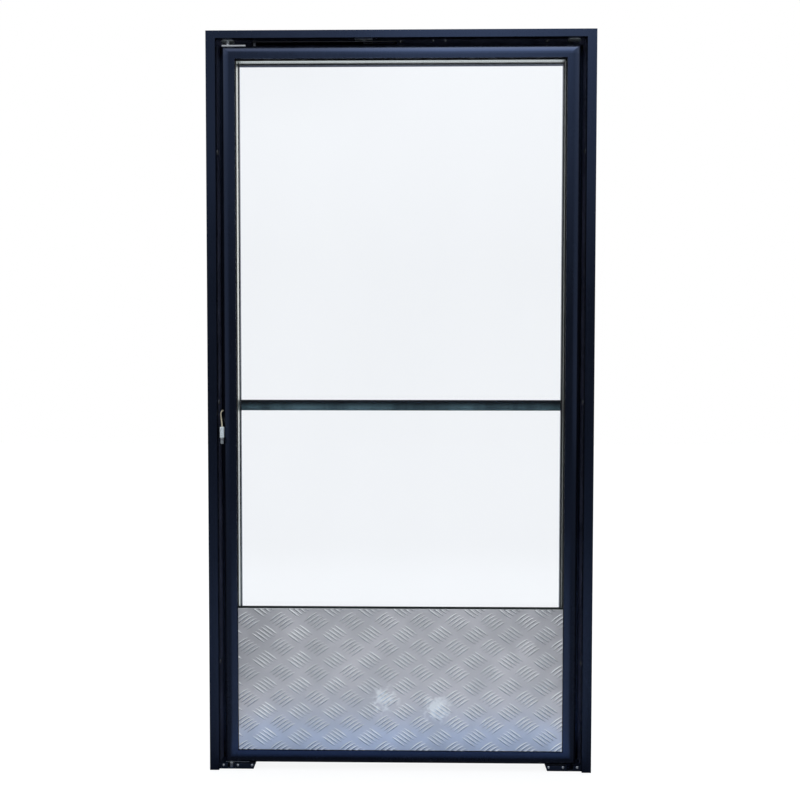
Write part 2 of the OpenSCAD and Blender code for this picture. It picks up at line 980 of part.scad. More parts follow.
// Outline of one raised bar lying along X, pointed at both ends and bowed upward
module tread_bar(bow) {
    high = bar_w / 2 + bow;
    low = bar_w / 2 - bow;
    intersection() {
        translate([0, high - bulge_r(high)])
            circle(bulge_r(high));
        translate([0, bulge_r(low) - low])
            circle(bulge_r(low));
    }
}

// A group of parallel bars; side 1 rises to the right, side -1 falls
module tread_group(side, bow) {
    for (i = [0 : bar_count - 1])
        translate((i - (bar_count - 1) / 2) * bar_pitch * [side * cos(bar_angle), -sin(bar_angle)])
            rotate(side * bar_angle)
                tread_bar(bow);
}

// A tread plate lying flat, pattern up, with its top left corner at the origin
module tread_plate() {
    columns = ceil(kick_w / tread_x) + 1;
    lines = ceil(kick_h / tread_z) + 1;
    translate([0, -kick_h, 0])
        cube([kick_w, kick_h, kick_t]);
    translate([0, 0, kick_t])
        linear_extrude(bar_rise)
            intersection() {
                translate([0, -kick_h])
                    square([kick_w, kick_h]);
                for (i = [-1 : columns], j = [-1 : lines])
                    translate([tread_start_x + i * tread_x, -tread_start_z - j * tread_z]) {
                        tread_group(1, bar_bow);
                        translate([tread_x / 2, -tread_z / 2])
                            tread_group(-1, 0);
                    }
            }
}

// Plates bonded to the outer face of each pane
module kick_plate() {
    color(aluminium)
        on_leaf()
            translate([leaf_x + kick_u, front_y + outer_pane_d - tape_t, kick_top_z])
                rotate([90, 0, 0])
                    tread_plate();
}

module kick_plate_tape() {
    color(black_rubber)
        on_leaf()
            translate([leaf_x + kick_u, front_y + outer_pane_d - tape_t, kick_z])
                cube([kick_w, tape_t, kick_h + tape_show]);
}

module rear_kick_plate() {
    color(aluminium)
        on_leaf()
            translate([leaf_x + rear_kick_u, front_y + rear_gasket_d + tape_t, rear_kick_z])
                cube([rear_kick_w, kick_t, rear_kick_h]);
}

module rear_kick_plate_tape() {
    color(black_rubber)
        on_leaf()
            translate([leaf_x + rear_kick_u, front_y + rear_gasket_d, rear_kick_z])
                cube([rear_kick_w, tape_t, rear_kick_h]);
}

// Push bar across the back of the leaf, on a post and foot at each stile
module push_outline(inset) {
    round_r = push_d / 2 - inset;
    for (side = [-1, 1])
        translate([0, side * (push_h - push_d) / 2])
            circle(round_r);
    square([push_d - 2 * inset, push_h - push_d], center = true);
}

module push_bar() {
    color(coat)
        on_leaf()
            translate([leaf_x + push_end_u + push_cap_t, front_y + leaf_t + push_clear + push_d / 2, bar_z])
                rotate([90, 0, 90])
                    linear_extrude(leaf_w - 2 * (push_end_u + push_cap_t))
                        difference() {
                            push_outline(0);
                            push_outline(push_wall);
                        }
}

module push_bar_caps() {
    color(black_rubber)
        on_leaf()
            for (side = [0, 1])
                mirror([side, 0, 0])
                    translate([leaf_x + push_end_u, front_y + leaf_t + push_clear + push_d / 2, bar_z])
                        rotate([90, 0, 90])
                            linear_extrude(push_cap_t)
                                push_outline(0);
}

// Screw places on a push bar foot, with the shank toward the leaf
module push_screw_places() {
    for (side = [-1, 1])
        translate([leaf_x + push_screw_u, front_y + leaf_t, bar_z + side * push_screw_rise])
            rotate([-90, 0, 0])
                children();
}

module push_bar_brackets() {
    color(coat)
        on_leaf()
            for (side = [0, 1])
                mirror([side, 0, 0])
                    difference() {
                        union() {
                            translate([leaf_x + foot_plate_u, front_y + leaf_t, bar_z - foot_plate_h / 2])
                                cube([foot_plate_w, bracket_t, foot_plate_h]);
                            translate([leaf_x + post_u, front_y + leaf_t, bar_z])
                                rotate([-90, 0, 0])
                                    cylinder(d = post_d, h = push_clear);
                        }
                        push_screw_places()
                            translate([0, 0, -over])
                                cylinder(d = small_screw_d + 2 * screw_play, h = bracket_t + 2 * over);
                    }
}

module push_bar_screws() {
    color("#c9ccd2")
        on_leaf()
            for (side = [0, 1])
                mirror([side, 0, 0])
                    push_screw_places()
                        translate([0, 0, bracket_t])
                            small_screw(bracket_t + screw_len);
}

// Rubber ring in the hinge stile's edge, which the heater lead comes out of
module lead_grommet() {
    color(black_rubber)
        on_leaf()
            translate([leaf_x, front_y + lead_exit_d, lead_exit_z])
                rotate([0, 90, 0])
                    difference() {
                        union() {
                            translate([0, 0, -grommet_t])
                                cylinder(d = grommet_d, h = grommet_t);
                            cylinder(d = grommet_neck_d, h = leaf_wall);
                        }
                        translate([0, 0, -grommet_t - over])
                            cylinder(d = lead_d + 2 * grommet_play, h = leaf_wall + grommet_t + 2 * over);
                    }
}

// A tube swept along points, with one ring of corners at each point
function along(p, i) = p[min(i + 1, len(p) - 1)] - p[max(i - 1, 0)];
function unit(v) = v / norm(v);
function ring_side(t) = unit(cross(t, [0, 1, 0]));
function tube_ring(p, i, r, sides) =
    let (t = unit(along(p, i)), a = ring_side(t), b = cross(t, a))
        [for (k = [0 : sides - 1]) p[i] + r * (cos(360 * k / sides) * a + sin(360 * k / sides) * b)];

module tube_along(p, r, sides) {
    corners = [for (i = [0 : len(p) - 1]) each tube_ring(p, i, r, sides)];
    last = (len(p) - 1) * sides;
    walls = [for (i = [0 : len(p) - 2], k = [0 : sides - 1])
        let (a = i * sides + k, b = i * sides + (k + 1) % sides)
            each [[a, a + sides, b], [b, a + sides, b + sides]]];
    first_cap = [for (k = [1 : sides - 2]) [0, k, k + 1]];
    last_cap = [for (k = [1 : sides - 2]) [last, last + k + 1, last + k]];
    polyhedron(corners, concat(walls, first_cap, last_cap));
}

module heater_lead() {
    color("#d9d2bb")
        on_leaf()
            translate([leaf_x, front_y, 0])
                tube_along(lead_points, lead_d / 2, lead_sides);
}

// Two-part connector hanging on the heater lead
module lead_plug() {
    color("#eef0f2")
        on_leaf()
            translate([leaf_x + plug_u, front_y + plug_mid_d, plug_top_z - plug_size.z]) {
                translate([-plug_size.x / 2, -plug_size.y / 2, 0])
                    cube(plug_size);
                translate([-plug_size.x / 4, -plug_size.y / 2 - plug_rib, plug_size.z / 4])
                    cube([plug_size.x / 2, plug_rib, plug_size.z / 2]);
            }
}

module lead_socket() {
    color("#9aa0a6")
        on_leaf()
            translate([leaf_x + plug_u - socket_size.x / 2, front_y + plug_mid_d - socket_size.y / 2,
                plug_top_z - plug_size.z - socket_size.z])
                cube(socket_size);
}

hinge_jamb();
latch_jamb();
frame_head();
frame_corner_keys();
strike_strips();
fixing_sleeves();
head_bush();
spare_bush_cap();
hinge_block();
spare_block();
block_screws();
lower_pivot_pin();
thrust_washer();
stay_bracket();
head_screws();
hinge_stile();
latch_stile();
top_rail();
bottom_rail();
leaf_corner_keys();
outer_pane();
inner_pane();
spacer_frame();
edge_sealant();
front_gasket();
rear_gasket();
glazing_beads();
setting_blocks();
magnetic_seal();
top_hinge_plate();
top_pivot_pin();
bottom_hinge_plate();
hinge_plate_screws();
torque_rod();
rod_anchor();
kick_plate();
kick_plate_tape();
rear_kick_plate();
rear_kick_plate_tape();
push_bar();
push_bar_caps();
push_bar_brackets();
push_bar_screws();
stay_stud();
stay_arm();
lead_grommet();
heater_lead();
lead_plug();
lead_socket();
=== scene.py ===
"""Looks of a glass door with tread-pattern kick plates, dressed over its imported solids."""

import logging
import math
from dataclasses import dataclass
from enum import Enum
from functools import cache, reduce
from typing import Sequence

import bmesh
import bpy
from mathutils import Matrix, Vector


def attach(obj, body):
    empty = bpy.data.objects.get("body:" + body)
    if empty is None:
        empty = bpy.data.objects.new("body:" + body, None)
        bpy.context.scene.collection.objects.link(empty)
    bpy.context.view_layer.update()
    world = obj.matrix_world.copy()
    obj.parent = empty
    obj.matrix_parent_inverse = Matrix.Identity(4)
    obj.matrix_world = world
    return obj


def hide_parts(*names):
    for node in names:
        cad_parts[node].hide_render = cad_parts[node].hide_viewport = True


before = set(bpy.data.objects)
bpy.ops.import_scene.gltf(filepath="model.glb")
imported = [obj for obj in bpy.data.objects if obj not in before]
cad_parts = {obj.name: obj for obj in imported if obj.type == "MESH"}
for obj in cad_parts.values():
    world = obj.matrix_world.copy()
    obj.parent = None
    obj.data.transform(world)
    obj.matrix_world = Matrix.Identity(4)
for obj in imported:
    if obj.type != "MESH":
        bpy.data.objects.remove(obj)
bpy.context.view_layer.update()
log = logging.getLogger("door")

Colour = tuple[float, float, float]
Point = tuple[float, float, float]
Range = tuple[float, float]
Feeds = Sequence[object] | dict[str | int, object]
Node = bpy.types.Node
Socket = bpy.types.NodeSocket
Tree = bpy.types.NodeTree
Piece = bpy.types.Object
Shape = bmesh.types.BMesh

FRONT_Y = -0.040
SHARP_EDGE = math.radians(35)
FLAT_EDGE = math.radians(0.6)
WELD = 2e-6
WHITE: Colour = (1.0, 1.0, 1.0)
TONE_SPAN: Range = (0.3, 0.7)
MASK_SPAN: Range = (0.35, 0.65)
BRUSH_SCALE: Point = (0.02, 1.0, 1.0)
NO_BOUNCE = 0.5


class Body(Enum):
    """The rigid bodies that a piece can ride on."""

    FRAME = "frame"
    LEAF = "leaf"
    STAY = "stay"


def mm(value: float) -> float:
    """Millimetres as metres."""
    return value / 1000.0


def at(x: float, depth: float, z: float) -> Vector:
    """A point in metres from millimetres across, behind the frame's face, and up."""
    return Vector((mm(x), FRONT_Y + mm(depth), mm(z)))


class Graph:
    """A node tree with short ways to add and feed nodes."""

    def __init__(self, tree: Tree) -> None:
        """Wraps a shader or geometry tree."""
        self.tree = tree

    def join(self, value: object, target: Socket) -> None:
        """Feeds an input.

        Args:
            value: a socket, a node for its first output, or a number, vector or colour.
            target: the input.
        """
        if isinstance(value, Node):
            value = value.outputs[0]
        if isinstance(value, Socket):
            self.tree.links.new(value, target)
        else:
            target.default_value = (*value, 1.0) if target.type == "RGBA" else value

    def add(self, kind: str, feeds: Feeds = (), **values: object) -> Node:
        """Adds a node.

        Args:
            kind: the node's type name.
            feeds: what goes into its inputs, in order or by name.
            values: properties of the node.

        Returns:
            The new node.
        """
        node = self.tree.nodes.new(kind)
        for name, value in values.items():
            setattr(node, name, value)
        for key, value in feeds.items() if isinstance(feeds, dict) else enumerate(feeds):
            self.join(value, node.inputs[key])
        return node

    def math(self, operation: str, a: object, b: object = 0.0) -> Socket:
        """Reckons with two sockets or numbers."""
        return self.add("ShaderNodeMath", (a, b), operation=operation).outputs[0]

    def product(self, *values: object) -> Socket:
        """Multiplies sockets and numbers in turn."""
        return reduce(lambda a, b: self.math("MULTIPLY", a, b), values)

    def spread(self, value: Socket, low: float, high: float, to_low: float = 0.0,
               to_high: float = 1.0, smooth: bool = False) -> Socket:
        """Maps a value from one range to another, and can ease the range's ends."""
        kind = "SMOOTHSTEP" if smooth else "LINEAR"
        return self.add("ShaderNodeMapRange", (value, low, high, to_low, to_high),
                        interpolation_type=kind).outputs[0]

    def ease(self, value: Socket, span: Range, height: float = 1.0) -> Socket:
        """Rises smoothly from 0 to a height while a value crosses a span."""
        return self.spread(value, *span, 0.0, height, smooth=True)

    def blend(self, factor: Socket, a: object, b: object) -> Socket:
        """Mixes two colours or sockets; the factor is how much of the second shows."""
        return self.add("ShaderNodeMix", {0: factor, 6: a, 7: b}, data_type="RGBA").outputs[2]

    def place(self, coordinate: str = "Object") -> Socket:
        """A texture coordinate."""
        return self.add("ShaderNodeTexCoord").outputs[coordinate]

    def axes(self, coordinate: str = "Object") -> Sequence[Socket]:
        """X, Y and Z of a texture coordinate."""
        return self.add("ShaderNodeSeparateXYZ", (self.place(coordinate),)).outputs[:]

    def noise(self, place: object, scale: Socket, **inputs: float) -> Socket:
        """Noise over a coordinate."""
        feeds = {"Vector": place, "Scale": scale, **inputs}
        return self.add("ShaderNodeTexNoise", feeds).outputs["Fac"]

    def show(self, factor: Socket, first: Node, second: Node) -> None:
        """Sends a mix of two shaders to the output; the factor is how much of the second shows."""
        sink = next(n for n in self.tree.nodes if n.type in ("OUTPUT_MATERIAL", "OUTPUT_WORLD"))
        self.join(self.add("ShaderNodeMixShader", (factor, first, second)), sink.inputs["Surface"])


class NodeGroup(Graph):
    """A node group with named inputs and outputs."""

    def __init__(self, name: str, inputs: dict[str, str | float]) -> None:
        """Starts a group.

        Args:
            name: the group's name.
            inputs: its inputs: socket types for geometry, default values for shading.
        """
        laid = any(isinstance(value, str) for value in inputs.values())
        super().__init__(bpy.data.node_groups.new(
            name, "GeometryNodeTree" if laid else "ShaderNodeTree"))
        for label, value in inputs.items():
            socket = self.tree.interface.new_socket(
                label, in_out="INPUT", socket_type=value if laid else "NodeSocketFloat")
            if not laid:
                socket.default_value = value
        self.given = self.add("NodeGroupInput").outputs

    def close(self, outputs: dict[str, object], kind: str = "NodeSocketFloat") -> Tree:
        """Ends a group.

        Args:
            outputs: what goes out, by name.
            kind: the outputs' socket type.

        Returns:
            The node tree.
        """
        for label in outputs:
            self.tree.interface.new_socket(label, in_out="OUTPUT", socket_type=kind)
        self.add("NodeGroupOutput", outputs)
        return self.tree

    def realise(self, laid: Node) -> Tree:
        """Ends a layout: its copies become real mesh with the input Finish on it.

        Args:
            laid: the node that gives the copies.

        Returns:
            The node tree.
        """
        real = self.add("GeometryNodeRealizeInstances", (laid,))
        feeds = {"Geometry": real, "Material": self.given["Finish"]}
        painted = self.add("GeometryNodeSetMaterial", feeds)
        return self.close({"Geometry": painted}, "NodeSocketGeometry")


@cache
def grain_group() -> Tree:
    """Fine even grain, as on powder coating, rubber and moulded plastic.

    Returns:
        The node group.
    """
    group = NodeGroup("fine_grain", {"Scale": 900.0})
    noise = group.noise(group.place(), group.given["Scale"], Detail=3.0)
    return group.close({"Height": noise, "Tone": group.spread(noise, *TONE_SPAN)})


@cache
def cloud_group() -> Tree:
    """Broad uneven patches, as of handling and wiping, stretched up and down; they also break up
    painted light.

    Returns:
        The node group.
    """
    group = NodeGroup("broad_cloud", {"Scale": 6.0, "Stretch": 1.0})
    scale = group.add("ShaderNodeCombineXYZ", (1.0, 1.0, group.given["Stretch"]))
    mapped = group.add("ShaderNodeMapping", {"Vector": group.place(), "Scale": scale})
    noise = group.noise(mapped, group.given["Scale"], Detail=5.0, Roughness=0.6)
    return group.close({"Mask": group.ease(noise, MASK_SPAN)})


@cache
def brush_group() -> Tree:
    """Fine parallel lines along X, as on rolled or brushed metal.

    Returns:
        The node group.
    """
    group = NodeGroup("brush_lines", {"Scale": 700.0})
    feeds = {"Vector": group.place(), "Scale": BRUSH_SCALE}
    mapped = group.add("ShaderNodeMapping", feeds)
    noise = group.noise(mapped, group.given["Scale"], Detail=4.0)
    return group.close({"Height": noise, "Tone": group.spread(noise, *TONE_SPAN)})


class Look(Graph):
    """A new material's tree, around its Principled BSDF."""

    def __init__(self, name: str) -> None:
        """Starts a material.

        Args:
            name: the material's name.
        """
        self.material = bpy.data.materials.new(name)
        self.material.use_nodes = True
        super().__init__(self.material.node_tree)
        self.shader = self.tree.nodes["Principled BSDF"]

    def set(self, inputs: dict[str, object]) -> None:
        """Feeds the shader's inputs by name."""
        for name, value in inputs.items():
            self.join(value, self.shader.inputs[name])

    def group(self, tree: Tree, **inputs: float) -> Node:
        """Puts a shared node group in the material."""
        return self.add("ShaderNodeGroup", inputs, node_tree=tree)

    def patches(self, scale: float, stretch: float = 1.0) -> Socket:
        """The mask of broad patches, with their scale up and down against across."""
        return self.group(cloud_group(), Scale=scale, Stretch=stretch).outputs["Mask"]

    def bump(self, height: Socket, strength: float, distance: float) -> None:
        """Raises the surface by a height, over any bump that is there already.

        Args:
            height: the height's socket.
            strength: how strongly it shows.
            distance: its depth in metres.
        """
        feeds = {"Strength": strength, "Distance": distance, "Height": height}
        below = self.shader.inputs["Normal"].links
        if below:
            feeds["Normal"] = below[0].from_socket
        self.set({"Normal": self.add("ShaderNodeBump", feeds)})


@dataclass(frozen=True)
class Finish:
    """A finish with a name and a colour; each kind adds its own nodes."""

    name: str
    colour: Colour
    roughness: float

    @cache
    def material(self) -> bpy.types.Material:
        """Makes the finish's material on first use.

        Returns:
            The material.
        """
        look = Look(self.name)
        look.material.diffuse_color = (*self.colour, 1.0)
        look.set({"Base Color": self.colour, "Roughness": self.roughness})
        self.dress(look)
        return look.material

    def dress(self, look: Look) -> None:
        """Adds what the finish shows beyond its colour to its material's tree."""
        raise NotImplementedError

    def shade(self, amount: float) -> Colour:
        """The colour, darker or lighter by a factor."""
        return tuple(min(1.0, c * amount) for c in self.colour)

    def tinted(self, look: Look, mask: Socket, tones: Range) -> Socket:
        """The colour, from one shade to another by a mask."""
        return look.blend(mask, *(self.shade(tone) for tone in tones))

    def dulled(self, look: Look, mask: Socket, change: Range) -> Socket:
        """The roughness, changed a little by a mask."""
        return look.spread(mask, 0.0, 1.0, *(self.roughness + c for c in change))


@dataclass(frozen=True)
class CoatedMetal(Finish):
    """Satin powder coating with a faint grain, wiped unevenly."""

    grain: float = 1100.0
    rub: float = 0.06
    shine: float = 1.0
    sheen: Colour = (0.35, 0.51, 1.0)
    patch: Range = (5.0, 0.35)
    tones: Range = (0.88, 1.15)
    dulling: Range = (-0.04, 0.04)
    relief: Range = (0.05, 0.0002)

    def dress(self, look: Look) -> None:
        """Grain in the coat, and tone and gloss that vary in broad patches.

        Args:
            look: the material\'s tree.
        """
        grain = look.group(grain_group(), Scale=self.grain)
        patches = look.patches(*self.patch)
        even = self.dulled(look, grain.outputs["Tone"], self.dulling)
        look.set({"Specular IOR Level": self.shine, "Specular Tint": self.sheen,
                  "Base Color": self.tinted(look, patches, self.tones),
                  "Roughness": look.math("ADD", look.product(patches, self.rub), even)})
        look.bump(grain.outputs["Height"], *self.relief)


@dataclass(frozen=True)
class CrownedCoat(CoatedMetal):
    """The same coating on the leaf's sections, whose faces round off at its top and foot."""

    low_z: float = 0.0185
    high_z: float = 1.960
    reach: float = 0.027
    fall: float = 0.0016
    curve: float = 1.4

    def dress(self, look: Look) -> None:
        """Rounds the face by a height that falls near the leaf's edge, under the coat's grain.

        Args:
            look: the material\'s tree.
        """
        _, _, z = look.axes()
        above = look.math("SUBTRACT", self.high_z, z)
        below = look.math("SUBTRACT", z, self.low_z)
        near = look.spread(look.math("MINIMUM", above, below), 0.0, self.reach, 1.0, 0.0)
        look.bump(look.product(look.math("POWER", near, self.curve), -self.fall), 1.0, 1.0)
        super().dress(look)


@dataclass(frozen=True)
class RebatedCoat(CoatedMetal):
    """The same coating on the frame, with painted fill light: a paler tone on the faces inside its
    rebate.
    """

    # Painted fill light: a paler colour for the faces inside the rebate, standing in for light
    # there.
    painted_fill: Colour = (0.24, 0.26, 0.40)
    fill_patch: Range = (14.0, 0.5)
    painted_light_cover: Range = (0.6, 1.0)
    stop_y: Range = (0.005, 0.001)
    wall_x: Range = (0.510, 0.505)
    top_z: Range = (1.988, 1.984)
    inner_y: Range = (FRONT_Y + 0.004, FRONT_Y + 0.034)

    def dress(self, look: Look) -> None:
        """Adds the painted fill light, a paler tone by depth, in patches, only between the frame's
        stop and its face.

        Args:
            look: the material\'s tree.
        """
        super().dress(look)
        x, y, z = look.axes()
        deep = look.ease(y, self.inner_y)
        across = look.math("ABSOLUTE", x)
        for value, limit in ((y, self.stop_y), (across, self.wall_x), (z, self.top_z)):
            deep = look.product(deep, look.spread(value, *limit))
        painted_light_cover = look.spread(look.patches(*self.fill_patch), 0.0, 1.0, *self.painted_light_cover)
        coat = look.shader.inputs["Base Color"].links[0].from_socket
        # Painted fill light: the rebate's faces turn paler by depth, in patches.
        look.set({"Base Color": look.blend(look.product(deep, painted_light_cover), coat, self.painted_fill)})


@dataclass(frozen=True)
class BarCoat(CoatedMetal):
    """Coating of the push bar: nearly black above, with a painted reflection that makes it paler
    below, in uneven lengths.
    """

    # Painted reflection: the paler colour that the bar shows towards its foot.
    pale: Colour = (0.155, 0.260, 0.285)
    reflection_patch: Range = (9.0, 0.0)
    reflection_z: Range = (1.0090, 0.9870)
    painted_light_cover: Range = (0.45, 1.0)

    def dress(self, look: Look) -> None:
        """Adds the painted reflection: a paler tone by height, broken up along the bar.

        Args:
            look: the material\'s tree.
        """
        super().dress(look)
        _, _, z = look.axes()
        painted_light_cover = look.spread(look.patches(*self.reflection_patch), 0.0, 1.0, *self.painted_light_cover)
        share = look.product(look.ease(z, self.reflection_z), painted_light_cover)
        # Painted reflection: paler towards the bottom, broken up along the bar.
        look.set({"Base Color": look.blend(share, self.colour, self.pale)})


@dataclass(frozen=True)
class TreadMetal(Finish):
    """Rolled aluminium tread plate: bars brighter than a duller ground, painted highlight and
    shade on their flanks, and painted glints.
    """

    ground: Colour = (0.708, 0.684, 0.708)
    face_y: float = FRONT_Y + 0.0025
    rise: float = 0.0014
    crown_dull: Range = (0.06, -0.05)
    # Painted highlight: the bars' upper flanks are lighter, as if lit from above.
    painted_highlight: float = 1.25
    highlight_tilt: Range = (0.04, 0.28)
    highlight_dull: float = 0.30
    # Painted shade: the bars' lower flanks are darker, as if shaded.
    painted_shade: float = 0.20
    shade_tilt: Range = (-0.04, -0.28)
    stain: float = 0.62
    stain_patch: Range = (9.0, 0.8)
    stain_share: float = 0.30
    stain_dull: float = 0.08
    lines: float = 900.0
    relief: Range = (0.10, 0.0002)
    # Painted glints: two brighter patches on the plate that stand in for reflections.
    glint_tone: float = 1.3
    ragged: float = 70.0
    painted_glints: tuple[Point, ...] = ((-0.044, 0.198, 0.046), (0.099, 0.173, 0.048))
    glint_squash: float = 1.1
    glint_ragged: float = 0.7
    glint_fade: Range = (0.3, 1.3)

    def dress(self, look: Look) -> None:
        """Tone by height of the pattern, painted highlight and shade by its tilt, broad stains,
        painted glints, and fine rolling lines.

        Args:
            look: the material\'s tree.
        """
        x, y, z = look.axes()
        _, _, tilt = look.axes("Normal")
        crown = look.spread(y, self.face_y, self.face_y - self.rise)
        painted_highlight = look.spread(tilt, *self.highlight_tilt)
        shaded_flank = look.spread(tilt, *self.shade_tilt)
        stains = look.patches(*self.stain_patch)
        tone = look.blend(crown, self.ground, self.colour)
        # Painted highlight on flanks that face up, painted shade on flanks that face down.
        tone = look.blend(painted_highlight, tone, self.shade(self.painted_highlight))
        tone = look.blend(shaded_flank, tone, self.shade(self.painted_shade))
        tone = look.blend(look.product(stains, self.stain_share), tone, self.shade(self.stain))
        ragged = look.patches(self.ragged)
        # Painted glints: brighter patches with ragged edges, standing in for reflections.
        for glint in self.painted_glints:
            mask = self.glint(look, x, z, ragged, glint)
            tone = look.blend(mask, tone, self.shade(self.glint_tone))
        rough = self.dulled(look, crown, self.crown_dull)
        rough = look.math("ADD", rough, look.product(stains, self.stain_dull))
        rough = look.math("ADD", rough, look.product(painted_highlight, self.highlight_dull))
        look.set({"Metallic": 1.0, "Base Color": tone, "Roughness": rough})
        lines = look.group(brush_group(), Scale=self.lines)
        look.bump(lines.outputs["Height"], *self.relief)

    def glint(self, look: Look, x: Socket, z: Socket, ragged: Socket, glint: Point) -> Socket:
        """Adds the mask of one painted glint with a ragged edge.

        Args:
            look: the material's tree.
            x: the place across.
            z: the place up.
            ragged: the patches that break the edge up.
            glint: the painted glint's middle across and up, and its reach, in metres.

        Returns:
            The mask.
        """
        middle_x, middle_z, reach = glint
        across = look.math("POWER", look.math("SUBTRACT", x, middle_x), 2.0)
        up = look.product(look.math("SUBTRACT", z, middle_z), self.glint_squash)
        apart = look.math("SQRT", look.math("ADD", across, look.math("POWER", up, 2.0)))
        apart = look.math("ADD", apart, look.product(ragged, self.glint_ragged * reach))
        start, end = (share * reach for share in self.glint_fade)
        return look.spread(apart, start, end, 1.0, 0.0, smooth=True)


@dataclass(frozen=True)
class BareMetal(Finish):
    """Plated or bare metal with fine tool lines."""

    lines: float = 1500.0
    patch: float = 60.0
    tones: Range = (0.94, 1.04)
    dulling: Range = (-0.05, 0.07)
    relief: Range = (0.08, 0.0002)

    def dress(self, look: Look) -> None:
        """Metal whose tone and gloss follow fine lines and faint handling.

        Args:
            look: the material\'s tree.
        """
        brush = look.group(brush_group(), Scale=self.lines)
        look.set({"Metallic": 1.0,
                  "Base Color": self.tinted(look, look.patches(self.patch), self.tones),
                  "Roughness": self.dulled(look, brush.outputs["Tone"], self.dulling)})
        look.bump(brush.outputs["Height"], *self.relief)


@dataclass(frozen=True)
class SpacerMetal(Finish):
    """Folded spacer bar with a row of small drying holes along the middle of its face."""

    pitch: float = 0.006
    hole_share: float = 0.4
    hole_half: float = 0.0006
    hole_tone: float = 0.1
    line_y: float = FRONT_Y + 0.017
    rear_y: Range = (FRONT_Y + 0.0175, FRONT_Y + 0.0225)
    # Painted shade on the rear half, away from the hinge side.
    painted_rear_shade: float = 0.42
    hinge_x: Range = (-0.441, -0.436)
    latch_x: Range = (0.436, 0.441)
    # Painted shade on the latch side, much darker than the metal's own colour.
    latch_painted_shades: Range = (0.10, 0.02)
    latch_dull: float = 0.55
    grain: float = 1800.0
    dulling: Range = (-0.05, 0.05)

    def dress(self, look: Look) -> None:
        """A dashed dark line of holes along X and Z, on metal with painted shade on its rear half
        away from the hinge side, and rougher, with darker painted shade, on the latch side.

        Args:
            look: the material\'s tree.
        """
        x, y, z = look.axes()
        along = look.math("DIVIDE", look.math("ADD", x, z), self.pitch)
        dash = look.math("LESS_THAN", look.math("FRACT", along), self.hole_share)
        offset = look.math("ABSOLUTE", look.math("SUBTRACT", y, self.line_y))
        hole = look.product(dash, look.math("LESS_THAN", offset, self.hole_half))
        deep = look.product(look.ease(y, self.rear_y), look.spread(x, *self.hinge_x))
        latch = look.spread(x, *self.latch_x)
        # Painted shade: darker rear half, and much darker on the latch side.
        metal = look.blend(deep, self.colour, self.shade(self.painted_rear_shade))
        metal = look.blend(latch, metal, self.tinted(look, deep, self.latch_painted_shades))
        grain = look.group(grain_group(), Scale=self.grain)
        rough = self.dulled(look, grain.outputs["Tone"], self.dulling)
        rough = look.math("ADD", rough, look.product(latch, self.latch_dull))
        look.set({"Metallic": 1.0, "Roughness": rough,
                  "Base Color": look.blend(hole, metal, self.shade(self.hole_tone))})


@dataclass(frozen=True)
class SoftRubber(Finish):
    """Dull black rubber with a fine grain."""

    grain: float = 1600.0
    tones: Range = (0.8, 1.25)
    relief: Range = (0.15, 0.0003)

    def dress(self, look: Look) -> None:
        """Fine grain in tone and height.

        Args:
            look: the material\'s tree.
        """
        grain = look.group(grain_group(), Scale=self.grain)
        look.set({"Base Color": self.tinted(look, grain.outputs["Tone"], self.tones)})
        look.bump(grain.outputs["Height"], *self.relief)


@dataclass(frozen=True)
class MouldedPlastic(Finish):
    """Moulded plastic with a faint mould grain."""

    grain: float = 2200.0
    patch: float = 90.0
    tones: Range = (0.93, 1.04)
    dulling: Range = (-0.04, 0.06)

    def dress(self, look: Look) -> None:
        """Faint grain and patches.

        Args:
            look: the material\'s tree.
        """
        grain = look.group(grain_group(), Scale=self.grain)
        look.set({"Base Color": self.tinted(look, look.patches(self.patch), self.tones),
                  "Roughness": self.dulled(look, grain.outputs["Tone"], self.dulling)})


@dataclass(frozen=True)
class PaneGlass(Finish):
    """Clear coated glass with a faint cool tint, wiped nearly clean."""

    bending: float = 1.30
    patch: Range = (3.0, 0.4)
    tones: Range = (0.995, 1.0)

    def dress(self, look: Look) -> None:
        """Sets the glass's own values, and lets lamps shine through it.

        Args:
            look: the material\'s tree.
        """
        look.set({"Transmission Weight": 1.0, "IOR": self.bending,
                  "Base Color": self.tinted(look, look.patches(*self.patch), self.tones)})
        clear = look.add("ShaderNodeBsdfTransparent", {"Color": self.colour})
        path = look.add("ShaderNodeLightPath")
        look.show(path.outputs["Is Shadow Ray"], look.shader, clear)


